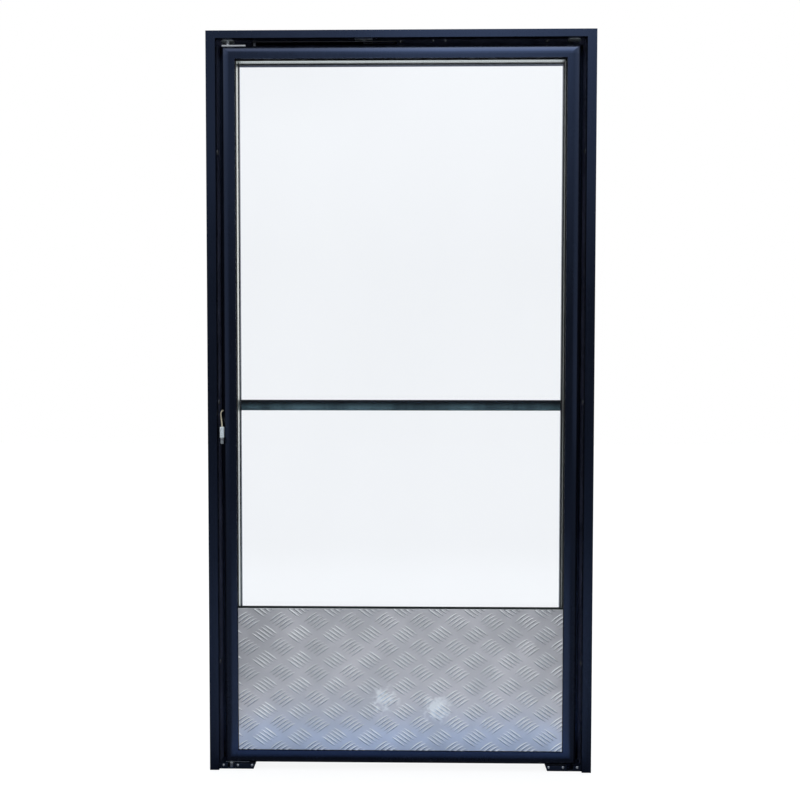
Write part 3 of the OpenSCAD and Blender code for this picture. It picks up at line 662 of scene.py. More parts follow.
class Finishes:
    """All finishes of the door."""

    frame_coat = RebatedCoat("frame_coat", (0.0032, 0.0034, 0.0050), 0.24)
    leaf_coat = CrownedCoat("leaf_coat", (0.0028, 0.0028, 0.0038), 0.22)
    block_coat = CoatedMetal("block_coat", (0.006, 0.007, 0.010), 0.36)
    bar_coat = BarCoat("bar_coat", (0.002, 0.004, 0.005), 0.50, shine=0.12)
    tread = TreadMetal("tread_plate", (0.84, 0.845, 0.86), 0.25)
    rear_sheet = BareMetal("rear_sheet", (0.55, 0.56, 0.58), 0.4, 900.0)
    spacer = SpacerMetal("spacer_bar", (0.94, 0.95, 0.88), 0.34)
    hinge_steel = BareMetal("hinge_steel_look", (0.74, 0.76, 0.78), 0.34)
    bush = BareMetal("bush_metal", (0.92, 0.96, 0.95), 0.55)
    zinc = BareMetal("bright_zinc_look", (0.8, 0.81, 0.83), 0.25)
    stay_metal = BareMetal("stay_metal_look", (0.10, 0.105, 0.12), 0.4)
    sleeve = BareMetal("sleeve_metal", (0.30, 0.31, 0.33), 0.42)
    insert = BareMetal("insert_metal", (0.5, 0.51, 0.53), 0.45)
    spring = BareMetal("spring_steel_look", (0.2, 0.2, 0.22), 0.4)
    # Painted fill light: the strips are paler than their own colour, for light inside the rebate.
    strike = CoatedMetal("strike_coat", (0.075, 0.085, 0.130), 0.4)
    rubber = SoftRubber("seal_rubber_look", (0.010, 0.010, 0.012), 0.7)
    tape = SoftRubber("bonding_tape", (0.004, 0.008, 0.008), 0.75)
    nylon = MouldedPlastic("nylon_washer", (0.75, 0.75, 0.7), 0.5)
    cap = MouldedPlastic("bar_cap", (0.015, 0.015, 0.017), 0.5)
    plug = MouldedPlastic("plug_body", (0.88, 0.95, 1.0), 0.35)
    socket = MouldedPlastic("socket_body", (0.30, 0.32, 0.34), 0.3)
    sheath = MouldedPlastic("lead_sheath_look", (0.72, 0.64, 0.46), 0.5)
    glass = PaneGlass("pane_glass_look", (0.965, 0.978, 0.995), 0.0)


def new_object(name: str, data: bpy.types.ID) -> Piece:
    """Puts a new object in the scene, at the origin.

    Args:
        name: the object's name.
        data: its mesh, curve, lamp or camera.

    Returns:
        The object.
    """
    made = bpy.data.objects.new(name, data)
    bpy.context.scene.collection.objects.link(made)
    return made


def new_mesh(name: str, shape: Shape | None = None, finish: Finish | None = None) -> Piece:
    """Puts a mesh in the scene, and lets go of the shape that it comes from.

    Args:
        name: the name of mesh and object.
        shape: its shape, if it isn't empty.
        finish: its finish, if it has one.

    Returns:
        The object.
    """
    mesh = bpy.data.meshes.new(name)
    if shape:
        shape.to_mesh(mesh)
        shape.free()
    mesh.materials.clear()
    if finish:
        mesh.materials.append(finish.material())
    return new_object(name, mesh)


def add_box(shape: Shape, centre: Vector, extent: Point) -> None:
    """Adds a box to a shape.

    Args:
        shape: the shape to add to.
        centre: the box's middle in metres.
        extent: its width, depth and height in millimetres.
    """
    verts = bmesh.ops.create_cube(shape, size=1.0)["verts"]
    bmesh.ops.scale(shape, vec=[mm(v) for v in extent], verts=verts)
    bmesh.ops.translate(shape, vec=centre, verts=verts)


def settle(piece: Piece) -> None:
    """Turns a piece's modifiers into plain mesh.

    Args:
        piece: the piece.
    """
    graph = bpy.context.evaluated_depsgraph_get()
    mesh = bpy.data.meshes.new_from_object(piece.evaluated_get(graph),
                                           preserve_all_data_layers=True, depsgraph=graph)
    piece.modifiers.clear()
    piece.data = mesh


def soften(piece: Piece, width: float, steps: int = 2) -> None:
    """Rounds a piece's sharp edges and shades the rest smooth.

    Args:
        piece: the piece to round.
        width: width of the rounding in millimetres.
        steps: faces across the rounding.
    """
    piece.data.shade_smooth()
    bevel = piece.modifiers.new("edge", "BEVEL")
    bevel.width = mm(width)
    bevel.segments = steps
    bevel.limit_method = "ANGLE"
    bevel.angle_limit = SHARP_EDGE
    bevel.use_clamp_overlap = True
    piece.modifiers.new("flat", "WEIGHTED_NORMAL")
    settle(piece)


def lay_out(piece: Piece, tree: Tree, values: dict[str, object]) -> None:
    """Runs a layout on a piece and keeps the result as plain mesh.

    Args:
        piece: the piece that holds the layout.
        tree: the layout.
        values: its inputs by name.
    """
    modifier = piece.modifiers.new("layout", "NODES")
    modifier.node_group = tree
    for item in tree.interface.items_tree:
        if item.in_out == "INPUT" and item.name in values:
            modifier[item.identifier] = values[item.name]
    settle(piece)


def enlist(piece: Piece, body: Body, node: str) -> Piece:
    """Hands a finished piece to the frame.

    Args:
        piece: the piece.
        body: the body that it rides on.
        node: the CAD node that it stands for.

    Returns:
        The piece.
    """
    faces = len(piece.data.polygons) if piece.type == "MESH" else 0
    if piece.type == "MESH" and not faces:
        raise ValueError(piece.name + " has no faces")
    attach(piece, body.value)
    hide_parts(node)
    log.info("%s: %d faces on %s", piece.name, faces, body.value)
    return piece


def worked(body: Body, finish: Finish, width: float, *nodes: str, steps: int = 2) -> None:
    """Makes pieces from CAD nodes' shapes with their edges softened, to stand for the nodes.

    Args:
        body: the body that they ride on.
        finish: their finish.
        width: width of the rounded edges in millimetres.
        nodes: the CAD nodes.
        steps: faces across the rounding.
    """
    for node in nodes:
        shape = bmesh.new()
        shape.from_mesh(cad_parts[node].data)
        bmesh.ops.remove_doubles(shape, verts=shape.verts, dist=WELD)
        bmesh.ops.dissolve_limit(shape, angle_limit=FLAT_EDGE, verts=shape.verts,
                                 edges=shape.edges)
        piece = new_mesh(node + "_finished", shape, finish)
        soften(piece, width, steps)
        enlist(piece, body, node)


def paint(finish: Finish, *nodes: str) -> None:
    """Gives CAD nodes that stay as they are a finish.

    Args:
        finish: the finish.
        nodes: the CAD nodes.
    """
    for node in nodes:
        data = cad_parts[node].data
        data.materials.clear()
        data.materials.append(finish.material())
        log.info("%s: kept, %s", node, finish.name)


@dataclass
class Photographer:
    """Camera at the photograph's place, with its angles in degrees."""

    place: Point = (0.0163, -1.6470, 1.0522)
    yaw: float = 0.6085
    pitch: float = 1.3528
    roll: float = 0.0607
    focal_px: float = 597.65
    frame_px: float = 800.0
    sensor_mm: float = 36.0
    clip_start: float = 0.05

    def build(self) -> None:
        """Adds the camera and makes it the scene's own."""
        data = bpy.data.cameras.new("camera")
        data.sensor_width = self.sensor_mm
        data.sensor_fit = "HORIZONTAL"
        data.lens = self.focal_px / self.frame_px * self.sensor_mm
        data.clip_start = self.clip_start
        turn = Matrix.Identity(4)
        for angle, axis in ((self.yaw, "Z"), (90 - self.pitch, "X"), (self.roll, "Z")):
            turn = turn @ Matrix.Rotation(math.radians(angle), 4, axis)
        camera = new_object("camera", data)
        camera.matrix_world = Matrix.Translation(self.place) @ turn
        bpy.context.scene.camera = camera


@dataclass(frozen=True)
class Lamp:
    """A square area lamp with its place, its aim and its power."""

    name: str
    place: Point
    aim: Point
    size: float
    power: float
    colour: Colour

    def build(self) -> None:
        """Adds the lamp."""
        data = bpy.data.lights.new(self.name, "AREA")
        data.shape = "SQUARE"
        data.size = self.size
        data.energy = self.power
        data.color = self.colour
        turn = (Vector(self.aim) - Vector(self.place)).to_track_quat("-Z", "Y")
        lamp = new_object(self.name, data)
        lamp.matrix_world = Matrix.Translation(self.place) @ turn.to_matrix().to_4x4()


@dataclass
class Studio:
    """White floor and surround, and soft light from above.

    Spans of the floor are in metres, and spans of the sky are parts of a direction.
    """

    floor_half: float = 9.0
    floor_drop: float = 0.0004
    floor_rough: float = 0.9
    floor_bright: Colour = (0.90, 0.91, 0.92)
    floor_white: float = 0.75
    floor_glow: float = 1.12
    floor_far: Colour = (0.63, 0.64, 0.65)
    # Painted light and shade on the floor, seen only in reflections and bounced light.
    painted_far_shade: Colour = (0.10, 0.105, 0.11)
    out_y: Range = (-2.4, -1.5)
    out_x: Range = (0.50, 0.44)
    out_fan: float = 0.28
    painted_near_light: Colour = (0.57, 0.73, 1.0)
    near_x: Range = (0.53, 0.45)
    near_y: Range = (0.31, 0.23)
    painted_foot_shade: Colour = (0.06, 0.065, 0.08)
    foot_y: Range = (0.14, 0.07)
    sky_colour: Colour = (0.90, 0.95, 1.0)
    sky_low: float = 0.09
    sky_wide: float = 0.40
    wide_x: Range = (0.44, 0.62)
    sky_rise: float = 0.92
    rise_z: Range = (0.2, 0.55)
    sky_shade: float = 0.76
    shade_x: Range = (0.06, -0.16)
    shade_end_x: Range = (-0.44, -0.36)
    shade_z: Range = (0.36, 0.46)
    sky_right: float = 0.40
    right_x: Range = (0.24, 0.29)
    right_end_x: Range = (0.48, 0.40)
    sky_patch: float = 1.15
    patch_middle: float = 0.14
    patch_x: Range = (0.12, 0.32)
    patch_z: Range = (0.48, 0.64)
    behind_y: Range = (0.0, 0.4)
    lamps: tuple[Lamp, ...] = (
        Lamp("overhead", (0.30, -0.20, 5.4), (0.2, -0.3, 1.0), 6.5, 114.0, (0.95, 0.97, 1.0)),)

    def build(self) -> None:
        """Adds floor, lamps and world."""
        bpy.context.scene.view_settings.view_transform = "Standard"
        self.floor()
        for lamp in self.lamps:
            lamp.build()
        self.world()

    def straight(self, graph: Graph) -> tuple[Socket, Socket]:
        """Adds masks of what the camera sees directly, and of what it sees through glass.

        Args:
            graph: the tree that needs the masks.

        Returns:
            Both masks.
        """
        path = graph.add("ShaderNodeLightPath").outputs
        bounced = graph.math("ADD", path["Glossy Depth"], path["Diffuse Depth"])
        unbent = graph.math("LESS_THAN", bounced, NO_BOUNCE)
        return path["Is Camera Ray"], graph.product(path["Is Transmission Ray"], unbent)

    def floor_tone(self, look: Look) -> Socket:
        """Adds the floor's colour as reflections and bounced light see it: pale before the door
        and painted bluish light near it, with painted shade far out and at its foot.

        Args:
            look: the floor's material.

        Returns:
            The colour.
        """
        x, y, _ = look.axes()
        away, across = look.math("ABSOLUTE", y), look.math("ABSOLUTE", x)
        fan = look.math("ADD", across, look.product(y, self.out_fan))
        front = look.product(look.ease(y, self.out_y), look.ease(fan, self.out_x))
        lit = look.math("MAXIMUM", front, look.math("GREATER_THAN", y, 0.0))
        # Painted shade far out, painted bluish light near the door, and painted shade at its foot.
        tone = look.blend(lit, self.painted_far_shade, self.floor_far)
        near = look.product(look.ease(away, self.near_y), look.ease(across, self.near_x))
        tone = look.blend(near, tone, self.painted_near_light)
        return look.blend(look.ease(away, self.foot_y), tone, self.painted_foot_shade)

    def floor(self) -> None:
        """A plain pale floor that shows white and keeps the door's shadow."""
        look = Look("pale_floor")
        seen, through = self.straight(look)
        tone = look.blend(seen, self.floor_tone(look), self.floor_bright)
        look.set({"Roughness": self.floor_rough, "Base Color": tone})
        strength = look.spread(through, 0.0, 1.0, self.floor_glow, 1.0)
        glow = look.add("ShaderNodeEmission", {"Color": WHITE, "Strength": strength})
        white = look.math("MAXIMUM", look.product(seen, self.floor_white), through)
        look.show(white, look.shader, glow)
        shape = bmesh.new()
        half = self.floor_half
        corners = ((-half, -half), (half, -half), (half, half), (-half, half))
        shape.faces.new([shape.verts.new((x, y, -self.floor_drop)) for x, y in corners])
        floor = new_mesh("floor", shape)
        floor.data.materials.append(look.material)

    def room_light(self, graph: Graph, x: Socket, z: Socket) -> Socket:
        """Adds how bright the room is: more overhead, with a bright and a shaded part.

        Args:
            graph: the world's tree.
            x: the direction across.
            z: the direction up.

        Returns:
            The strength.
        """
        rise = graph.spread(z, *self.rise_z, 0.0, self.sky_rise)
        shaded = graph.product(graph.ease(x, self.shade_x, self.sky_shade),
                               graph.ease(x, self.shade_end_x), graph.ease(z, self.shade_z))
        middle = graph.math("ABSOLUTE", graph.math("SUBTRACT", x, self.patch_middle))
        patch = graph.product(graph.ease(z, self.patch_z, self.sky_patch),
                              graph.spread(middle, *self.patch_x, 1.0, 0.0, smooth=True))
        right = graph.product(graph.ease(x, self.right_x, self.sky_right),
                              graph.ease(x, self.right_end_x))
        upper = graph.math("ADD", graph.product(rise, graph.math("SUBTRACT", 1.0, shaded)), patch)
        upper = graph.product(upper, graph.math("SUBTRACT", 1.0, right))
        lower = graph.spread(graph.math("ABSOLUTE", x), *self.wide_x, self.sky_low, self.sky_wide,
                             smooth=True)
        return graph.math("MAXIMUM", graph.math("ADD", upper, self.sky_low), lower)

    def world(self) -> None:
        """White behind the door, and a softer room in front of it that is brighter overhead."""
        world = bpy.data.worlds.new("surround")
        bpy.context.scene.world = world
        world.use_nodes = True
        graph = Graph(world.node_tree)
        x, y, z = graph.axes("Generated")
        room = world.node_tree.nodes["Background"]
        graph.join(self.sky_colour, room.inputs["Color"])
        graph.join(self.room_light(graph, x, z), room.inputs["Strength"])
        white = graph.add("ShaderNodeBackground", {"Color": WHITE, "Strength": 1.0})
        path = graph.add("ShaderNodeLightPath").outputs
        bounced = graph.math("MAXIMUM", path["Is Glossy Ray"], path["Is Transmission Ray"])
        behind = graph.product(bounced, graph.ease(y, self.behind_y))
        direct = graph.math("MAXIMUM", *self.straight(graph))
        graph.show(graph.math("MAXIMUM", direct, behind), room, white)


@dataclass
class HeaterLead:
    """Short lead out of the hinge stile's edge, with a two-part connector on its end."""

    edge_x: float = -479.5
    diameter: float = 4.0
    roundness: int = 4
    exit_depth: float = 16.0
    exit_z: float = 985.0
    run: float = 1.0
    bend_r: float = 8.4
    bend_steps: int = 8
    lean: float = 1.6
    drop_steps: int = 12
    plug_across: float = -2.5
    plug_depth: float = 2.0
    plug_top: float = 941.0
    plug_size: Point = (10.0, 7.0, 29.0)
    plug_ribs: int = 4
    socket_size: Point = (7.0, 6.6, 17.0)
    socket_ribs: int = 2
    rib_start: float = 0.25
    rib_span: float = 0.5
    rib_share: float = 0.6
    rib_deep: float = 1.2
    rib_tall: float = 1.6
    collar_start: float = 0.12
    collar_out: float = 0.8
    collar_tall: float = 2.2
    edge: float = 0.5
    ring_edge: float = 0.4

    def route(self) -> list[Vector]:
        """The lead's centre line.

        Returns:
            Points in metres from the stile's edge to the plug.
        """
        points = [(0.0, self.exit_depth, self.exit_z), (-self.run, self.exit_depth, self.exit_z)]
        for step in range(1, self.bend_steps + 1):
            angle = math.radians(90 * step / self.bend_steps)
            fallen = 1 - math.cos(angle)
            points.append((-self.run - self.bend_r * math.sin(angle),
                           self.exit_depth - self.lean * fallen,
                           self.exit_z - self.bend_r * fallen))
        start = Vector(points[-1])
        end = Vector((self.plug_across, self.plug_depth, self.plug_top))
        for step in range(1, self.drop_steps + 1):
            t = step / self.drop_steps
            ease = t * t * (3 - 2 * t)
            spot = start.lerp(end, t)
            spot.x = start.x + (end.x - start.x) * ease
            spot.y = start.y + (end.y - start.y) * ease
            points.append(tuple(spot))
        return [at(self.edge_x + x, depth, z) for x, depth, z in points]

    def sheath(self, route: Sequence[Vector]) -> Piece:
        """The lead itself.

        Args:
            route: its centre line.

        Returns:
            A round curve along the line.
        """
        data = bpy.data.curves.new("heater_lead_sheath", "CURVE")
        data.dimensions = "3D"
        data.bevel_depth = mm(self.diameter) / 2
        data.bevel_resolution = self.roundness
        data.use_fill_caps = True
        spline = data.splines.new("POLY")
        spline.points.add(len(route) - 1)
        for point, spot in zip(spline.points, route):
            point.co = (*spot, 1.0)
        data.materials.append(Finishes.sheath.material())
        return new_object("heater_lead_sheath", data)

    def block(self, name: str, size: Point, top: float, ribs: int, finish: Finish,
              node: str) -> Piece:
        """One half of the connector, with a collar, and grip ribs on its front and back.

        Args:
            name: the piece's name.
            size: width, depth and height in millimetres.
            top: height of its upper end in millimetres.
            ribs: how many grip ribs each side has.
            finish: its finish.
            node: the CAD node that it stands for.

        Returns:
            The piece.
        """
        shape = bmesh.new()
        wide, deep, tall = size
        x, depth = self.edge_x + self.plug_across, self.plug_depth
        add_box(shape, at(x, depth, top - tall / 2), size)
        for i in range(ribs):
            z = top - tall * (self.rib_start + self.rib_span * i / max(1, ribs - 1))
            for side in (-1, 1):
                add_box(shape, at(x, depth + side * deep / 2, z),
                        (wide * self.rib_share, self.rib_deep, self.rib_tall))
        add_box(shape, at(x, depth, top - tall * self.collar_start),
                (wide + self.collar_out, deep + self.collar_out, self.collar_tall))
        piece = new_mesh(name, shape, finish)
        soften(piece, self.edge)
        return enlist(piece, Body.LEAF, node)

    def build(self) -> None:
        """Makes the lead, its connector and the ring that it comes out of."""
        route = self.route()
        lead = self.sheath(route)
        plug = self.block("connector_plug", self.plug_size, self.plug_top, self.plug_ribs,
                          Finishes.plug, "lead_plug")
        socket = self.block("connector_socket", self.socket_size,
                            self.plug_top - self.plug_size[2], self.socket_ribs,
                            Finishes.socket, "lead_socket")
        enlist(lead, Body.LEAF, "heater_lead")
        worked(Body.LEAF, Finishes.rubber, self.ring_edge, "lead_grommet")


@dataclass
class DoorFrame:
    """Jambs, head and what is fixed in them."""

    edge: float = 0.5
    strip_edge: float = 0.2
    sleeve_edge: float = 0.3

    def build(self) -> None:
        """Finishes the frame's extrusions and fittings."""
        worked(Body.FRAME, Finishes.frame_coat, self.edge,
               "hinge_jamb", "latch_jamb", "frame_head")
        worked(Body.FRAME, Finishes.strike, self.strip_edge, "strike_strips")
        worked(Body.FRAME, Finishes.sleeve, self.sleeve_edge, "fixing_sleeves")
        paint(Finishes.insert, "frame_corner_keys")


@dataclass
class LeafFrame:
    """Stiles and rails of the leaf, their seals, and what is inside them."""

    edge: float = 0.2
    seal_edge: float = 0.8

    def build(self) -> None:
        """Finishes the leaf's extrusions."""
        worked(Body.LEAF, Finishes.leaf_coat, self.edge,
               "hinge_stile", "latch_stile", "top_rail", "bottom_rail", "glazing_beads")
        worked(Body.LEAF, Finishes.rubber, self.seal_edge, "magnetic_seal")
        paint(Finishes.insert, "leaf_corner_keys", "rod_anchor")
        paint(Finishes.spring, "torque_rod")


@dataclass
class Glazing:
    """Two panes with their spacer, sealant and gaskets."""

    arris: float = 0.3
    spacer_edge: float = 0.4
    gasket_edge: float = 0.8

    def build(self) -> None:
        """Finishes the glass unit and what holds it."""
        worked(Body.LEAF, Finishes.glass, self.arris, "outer_pane", "inner_pane", steps=1)
        worked(Body.LEAF, Finishes.spacer, self.spacer_edge, "spacer_frame")
        worked(Body.LEAF, Finishes.rubber, self.gasket_edge, "front_gasket", "rear_gasket")
        paint(Finishes.rubber, "edge_sealant", "setting_blocks")


@dataclass
class TreadPattern:
    """Groups of raised bars that slope one way and the other in turn."""

    bar_len: float = 46.0
    bar_w: float = 5.6
    rise: float = 1.4
    bow: float = 1.6
    sunk: float = 0.3
    stations: int = 9
    across: int = 7
    taper: float = 2.6
    droop: float = 4.0
    dome: float = 1.6
    tip_w: float = 0.03
    tip_h: float = 0.02
    bars: int = 5
    bar_pitch: float = 10.1
    slope: float = 36.0
    pitch_x: float = 95.4
    pitch_z: float = 70.8
    start_x: float = 24.5
    start_z: float = 34.5
    spare: int = 2

    def bar(self, bow: float) -> Piece:
        """One raised bar along X, domed across and narrowed at both ends.

        Args:
            bow: how far its middle stands to one side, in millimetres.

        Returns:
            A template object, used only by the pattern.
        """
        shape = bmesh.new()
        last = self.across - 1
        rows = []
        for i in range(self.stations):
            t = -1 + 2 * i / (self.stations - 1)
            half = max(self.tip_w, 1 - abs(t) ** self.taper) * self.bar_w / 2
            top = self.rise * max(self.tip_h, 1 - abs(t) ** self.droop)
            middle = bow * (1 - t * t)
            row = []
            for k in range(self.across):
                angle = math.pi * k / last
                lift = top * math.sin(angle) ** self.dome if 0 < k < last else -self.sunk
                spot = (t * self.bar_len / 2, middle + half * math.cos(angle), lift)
                row.append(shape.verts.new([mm(v) for v in spot]))
            rows.append(row)
        for a, b in zip(rows, rows[1:]):
            for k in range(last):
                shape.faces.new((a[k], a[k + 1], b[k + 1], b[k]))
        shape.faces.new(rows[0])
        shape.faces.new(list(reversed(rows[-1])))
        bmesh.ops.recalc_face_normals(shape, faces=shape.faces)
        for face in shape.faces:
            face.smooth = True
        return new_mesh("tread_bar", shape)

    def tree(self) -> Tree:
        """Builds the geometry tree that lays the bars out over a plate.

        Returns:
            The node tree.
        """
        layout = NodeGroup("tread_layout", {
            "Rising Bar": "NodeSocketObject", "Falling Bar": "NodeSocketObject",
            "Columns": "NodeSocketInt", "Lines": "NodeSocketInt",
            "Pitch X": "NodeSocketFloat", "Pitch Z": "NodeSocketFloat",
            "Bars": "NodeSocketInt", "Bar Pitch": "NodeSocketFloat", "Slope": "NodeSocketFloat",
            "First Group": "NodeSocketVector", "Finish": "NodeSocketMaterial"})
        gather = layout.add("GeometryNodeJoinGeometry")
        for label, turn in (("Rising Bar", 1.0), ("Falling Bar", -1.0)):
            bar = layout.add("GeometryNodeObjectInfo", {"Object": layout.given[label]})
            group = self.group(layout, bar.outputs["Geometry"], turn)
            layout.join(self.family(layout, group, turn), gather.inputs[0])
        upright = layout.add("GeometryNodeTransform", {
            "Geometry": gather, "Rotation": (math.pi / 2, 0.0, 0.0)})
        return layout.realise(layout.add("GeometryNodeTransform", {
            "Geometry": upright, "Translation": layout.given["First Group"]}))

    def group(self, layout: NodeGroup, bar: Socket, turn: float) -> Node:
        """Adds one group of parallel bars, stacked along the other family's slope.

        Args:
            layout: the tree.
            bar: the bar.
            turn: 1 for a group that rises to the right, -1 for one that falls.

        Returns:
            The node that gives the group, about the origin.
        """
        given = layout.given
        half = layout.product(layout.math("SUBTRACT", given["Bars"], 1.0), -0.5)
        shares = [layout.product(layout.math(part, given["Slope"]), sign)
                  for part, sign in (("COSINE", turn), ("SINE", -1.0))]
        step = [layout.product(share, given["Bar Pitch"]) for share in shares]
        first = [layout.product(half, apart) for apart in step]
        line = layout.add("GeometryNodeMeshLine", {
            "Count": given["Bars"],
            "Start Location": layout.add("ShaderNodeCombineXYZ", first),
            "Offset": layout.add("ShaderNodeCombineXYZ", step)}, mode="OFFSET")
        angle = {"Z": layout.product(given["Slope"], turn)}
        return layout.add("GeometryNodeInstanceOnPoints", {
            "Points": line, "Instance": bar,
            "Rotation": layout.add("ShaderNodeCombineXYZ", angle)})

    def family(self, layout: NodeGroup, group: Node, turn: float) -> Node:
        """Adds all groups that slope one way.

        Args:
            layout: the tree.
            group: the node that gives one group.
            turn: 1 for groups that rise to the right, -1 for those that fall.

        Returns:
            The node that gives them, lying flat with the first rising group at the origin.
        """
        given = layout.given
        feeds, places = {}, []
        for axis, count, pitch, side in (("X", "Columns", "Pitch X", 1.0),
                                         ("Y", "Lines", "Pitch Z", -1.0)):
            size = layout.product(layout.math("SUBTRACT", given[count], 1.0), given[pitch])
            feeds |= {"Vertices " + axis: given[count], "Size " + axis: size}
            offset = layout.product(given[pitch], 0.5 * side if turn < 0 else 0.0)
            places.append(layout.math("ADD", layout.product(size, 0.5 * side), offset))
        grid = layout.add("GeometryNodeMeshGrid", feeds)
        laid = layout.add("GeometryNodeInstanceOnPoints", {"Points": grid, "Instance": group})
        return layout.add("GeometryNodeTransform", {
            "Geometry": laid, "Translation": layout.add("ShaderNodeCombineXYZ", places)})


@dataclass
class KickPlates:
    """Tread plate on the front pane, plain sheet on the rear pane, and their tape."""

    half_w: float = 441.2
    low_z: float = 56.8
    high_z: float = 446.0
    face_depth: float = 2.5
    back_depth: float = 5.0
    edge: float = 0.4
    tape_edge: float = 0.1

    def ground(self) -> Piece:
        """The flat sheet under the raised bars.

        Returns:
            The sheet.
        """
        shape = bmesh.new()
        add_box(shape, at(0.0, (self.back_depth + self.face_depth) / 2,
                          (self.high_z + self.low_z) / 2),
                (2 * self.half_w, self.back_depth - self.face_depth, self.high_z - self.low_z))
        sheet = new_mesh("tread_sheet", shape, Finishes.tread)
        soften(sheet, self.edge)
        return sheet

    def pattern(self) -> Piece:
        """The raised bars, cut off at the plate's edges.

        Returns:
            All the bars as one plain mesh.
        """
        layout = TreadPattern()
        rising, falling = layout.bar(layout.bow), layout.bar(0.0)
        holder = new_mesh("tread_bars", finish=Finishes.tread)
        first = at(-self.half_w + layout.start_x - layout.pitch_x, self.face_depth,
                   self.high_z - layout.start_z + layout.pitch_z)
        lay_out(holder, layout.tree(), {
            "Rising Bar": rising, "Falling Bar": falling,
            "Columns": math.ceil(2 * self.half_w / layout.pitch_x) + layout.spare,
            "Lines": math.ceil((self.high_z - self.low_z) / layout.pitch_z) + layout.spare,
            "Pitch X": mm(layout.pitch_x), "Pitch Z": mm(layout.pitch_z),
            "Bars": layout.bars, "Bar Pitch": mm(layout.bar_pitch),
            "Slope": math.radians(layout.slope), "First Group": tuple(first),
            "Finish": Finishes.tread.material()})
        for spent in (rising, falling):
            bpy.data.objects.remove(spent)
        self.trim(holder.data)
        return holder

    def trim(self, mesh: bpy.types.Mesh) -> None:
        """Cuts the bars off where the plate ends.

        Args:
            mesh: the bars.
        """
        shape = bmesh.new()
        shape.from_mesh(mesh)
        side = self.half_w - self.edge
        for x, z, normal in ((side, 0, (1, 0, 0)), (-side, 0, (-1, 0, 0)),
                             (0, self.high_z - self.edge, (0, 0, 1)),
                             (0, self.low_z + self.edge, (0, 0, -1))):
            parts = list(shape.verts) + list(shape.edges) + list(shape.faces)
            cut = bmesh.ops.bisect_plane(shape, geom=parts, plane_co=at(x, 0, z), plane_no=normal,
                                         clear_outer=True)
            rim = [g for g in cut["geom_cut"] if isinstance(g, bmesh.types.BMEdge)]
            bmesh.ops.holes_fill(shape, edges=rim, sides=0)
        shape.to_mesh(mesh)
        shape.free()

    def build(self) -> None:
        """Makes the front plate from its sheet and bars, and finishes the rest."""
        shape = bmesh.new()
        for spent in (self.ground(), self.pattern()):
            shape.from_mesh(spent.data)
            bpy.data.objects.remove(spent)
        plate = new_mesh("kick_plate_finished", shape, Finishes.tread)
        enlist(plate, Body.LEAF, "kick_plate")
        worked(Body.LEAF, Finishes.rear_sheet, self.edge, "rear_kick_plate")
        worked(Body.LEAF, Finishes.tape, self.tape_edge,
               "kick_plate_tape", "rear_kick_plate_tape", steps=1)


@dataclass
class PushBar:
    """Bar across the back of the leaf on two brackets."""

    bar_edge: float = 0.3
    edge: float = 0.6

    def build(self) -> None:
        """Finishes the bar, its caps and its brackets."""
        worked(Body.LEAF, Finishes.bar_coat, self.bar_edge, "push_bar")
        worked(Body.LEAF, Finishes.cap, self.edge, "push_bar_caps")
        worked(Body.LEAF, Finishes.bar_coat, self.edge, "push_bar_brackets")


@dataclass
class Hinges:
    """Pivots above and below the leaf, with their spare places on the latch side."""

    edge: float = 0.5
    washer_edge: float = 0.3

    def build(self) -> None:
        """Finishes the pivots' pieces."""
        worked(Body.FRAME, Finishes.bush, self.edge, "head_bush", "spare_bush_cap")
        worked(Body.FRAME, Finishes.hinge_steel, self.edge, "lower_pivot_pin")
        worked(Body.FRAME, Finishes.block_coat, self.edge, "hinge_block", "spare_block")
        worked(Body.FRAME, Finishes.nylon, self.washer_edge, "thrust_washer")
        worked(Body.LEAF, Finishes.hinge_steel, self.edge,
               "top_hinge_plate", "top_pivot_pin", "bottom_hinge_plate")


@dataclass
class HoldOpenStay:
    """Slotted arm between a stud on the leaf and a bracket under the head."""

    edge: float = 0.4

    def build(self) -> None:
        """Finishes the stay's pieces."""
        worked(Body.FRAME, Finishes.hinge_steel, self.edge, "stay_bracket")
        worked(Body.LEAF, Finishes.stay_metal, self.edge, "stay_stud")
        worked(Body.STAY, Finishes.stay_metal, self.edge, "stay_arm")


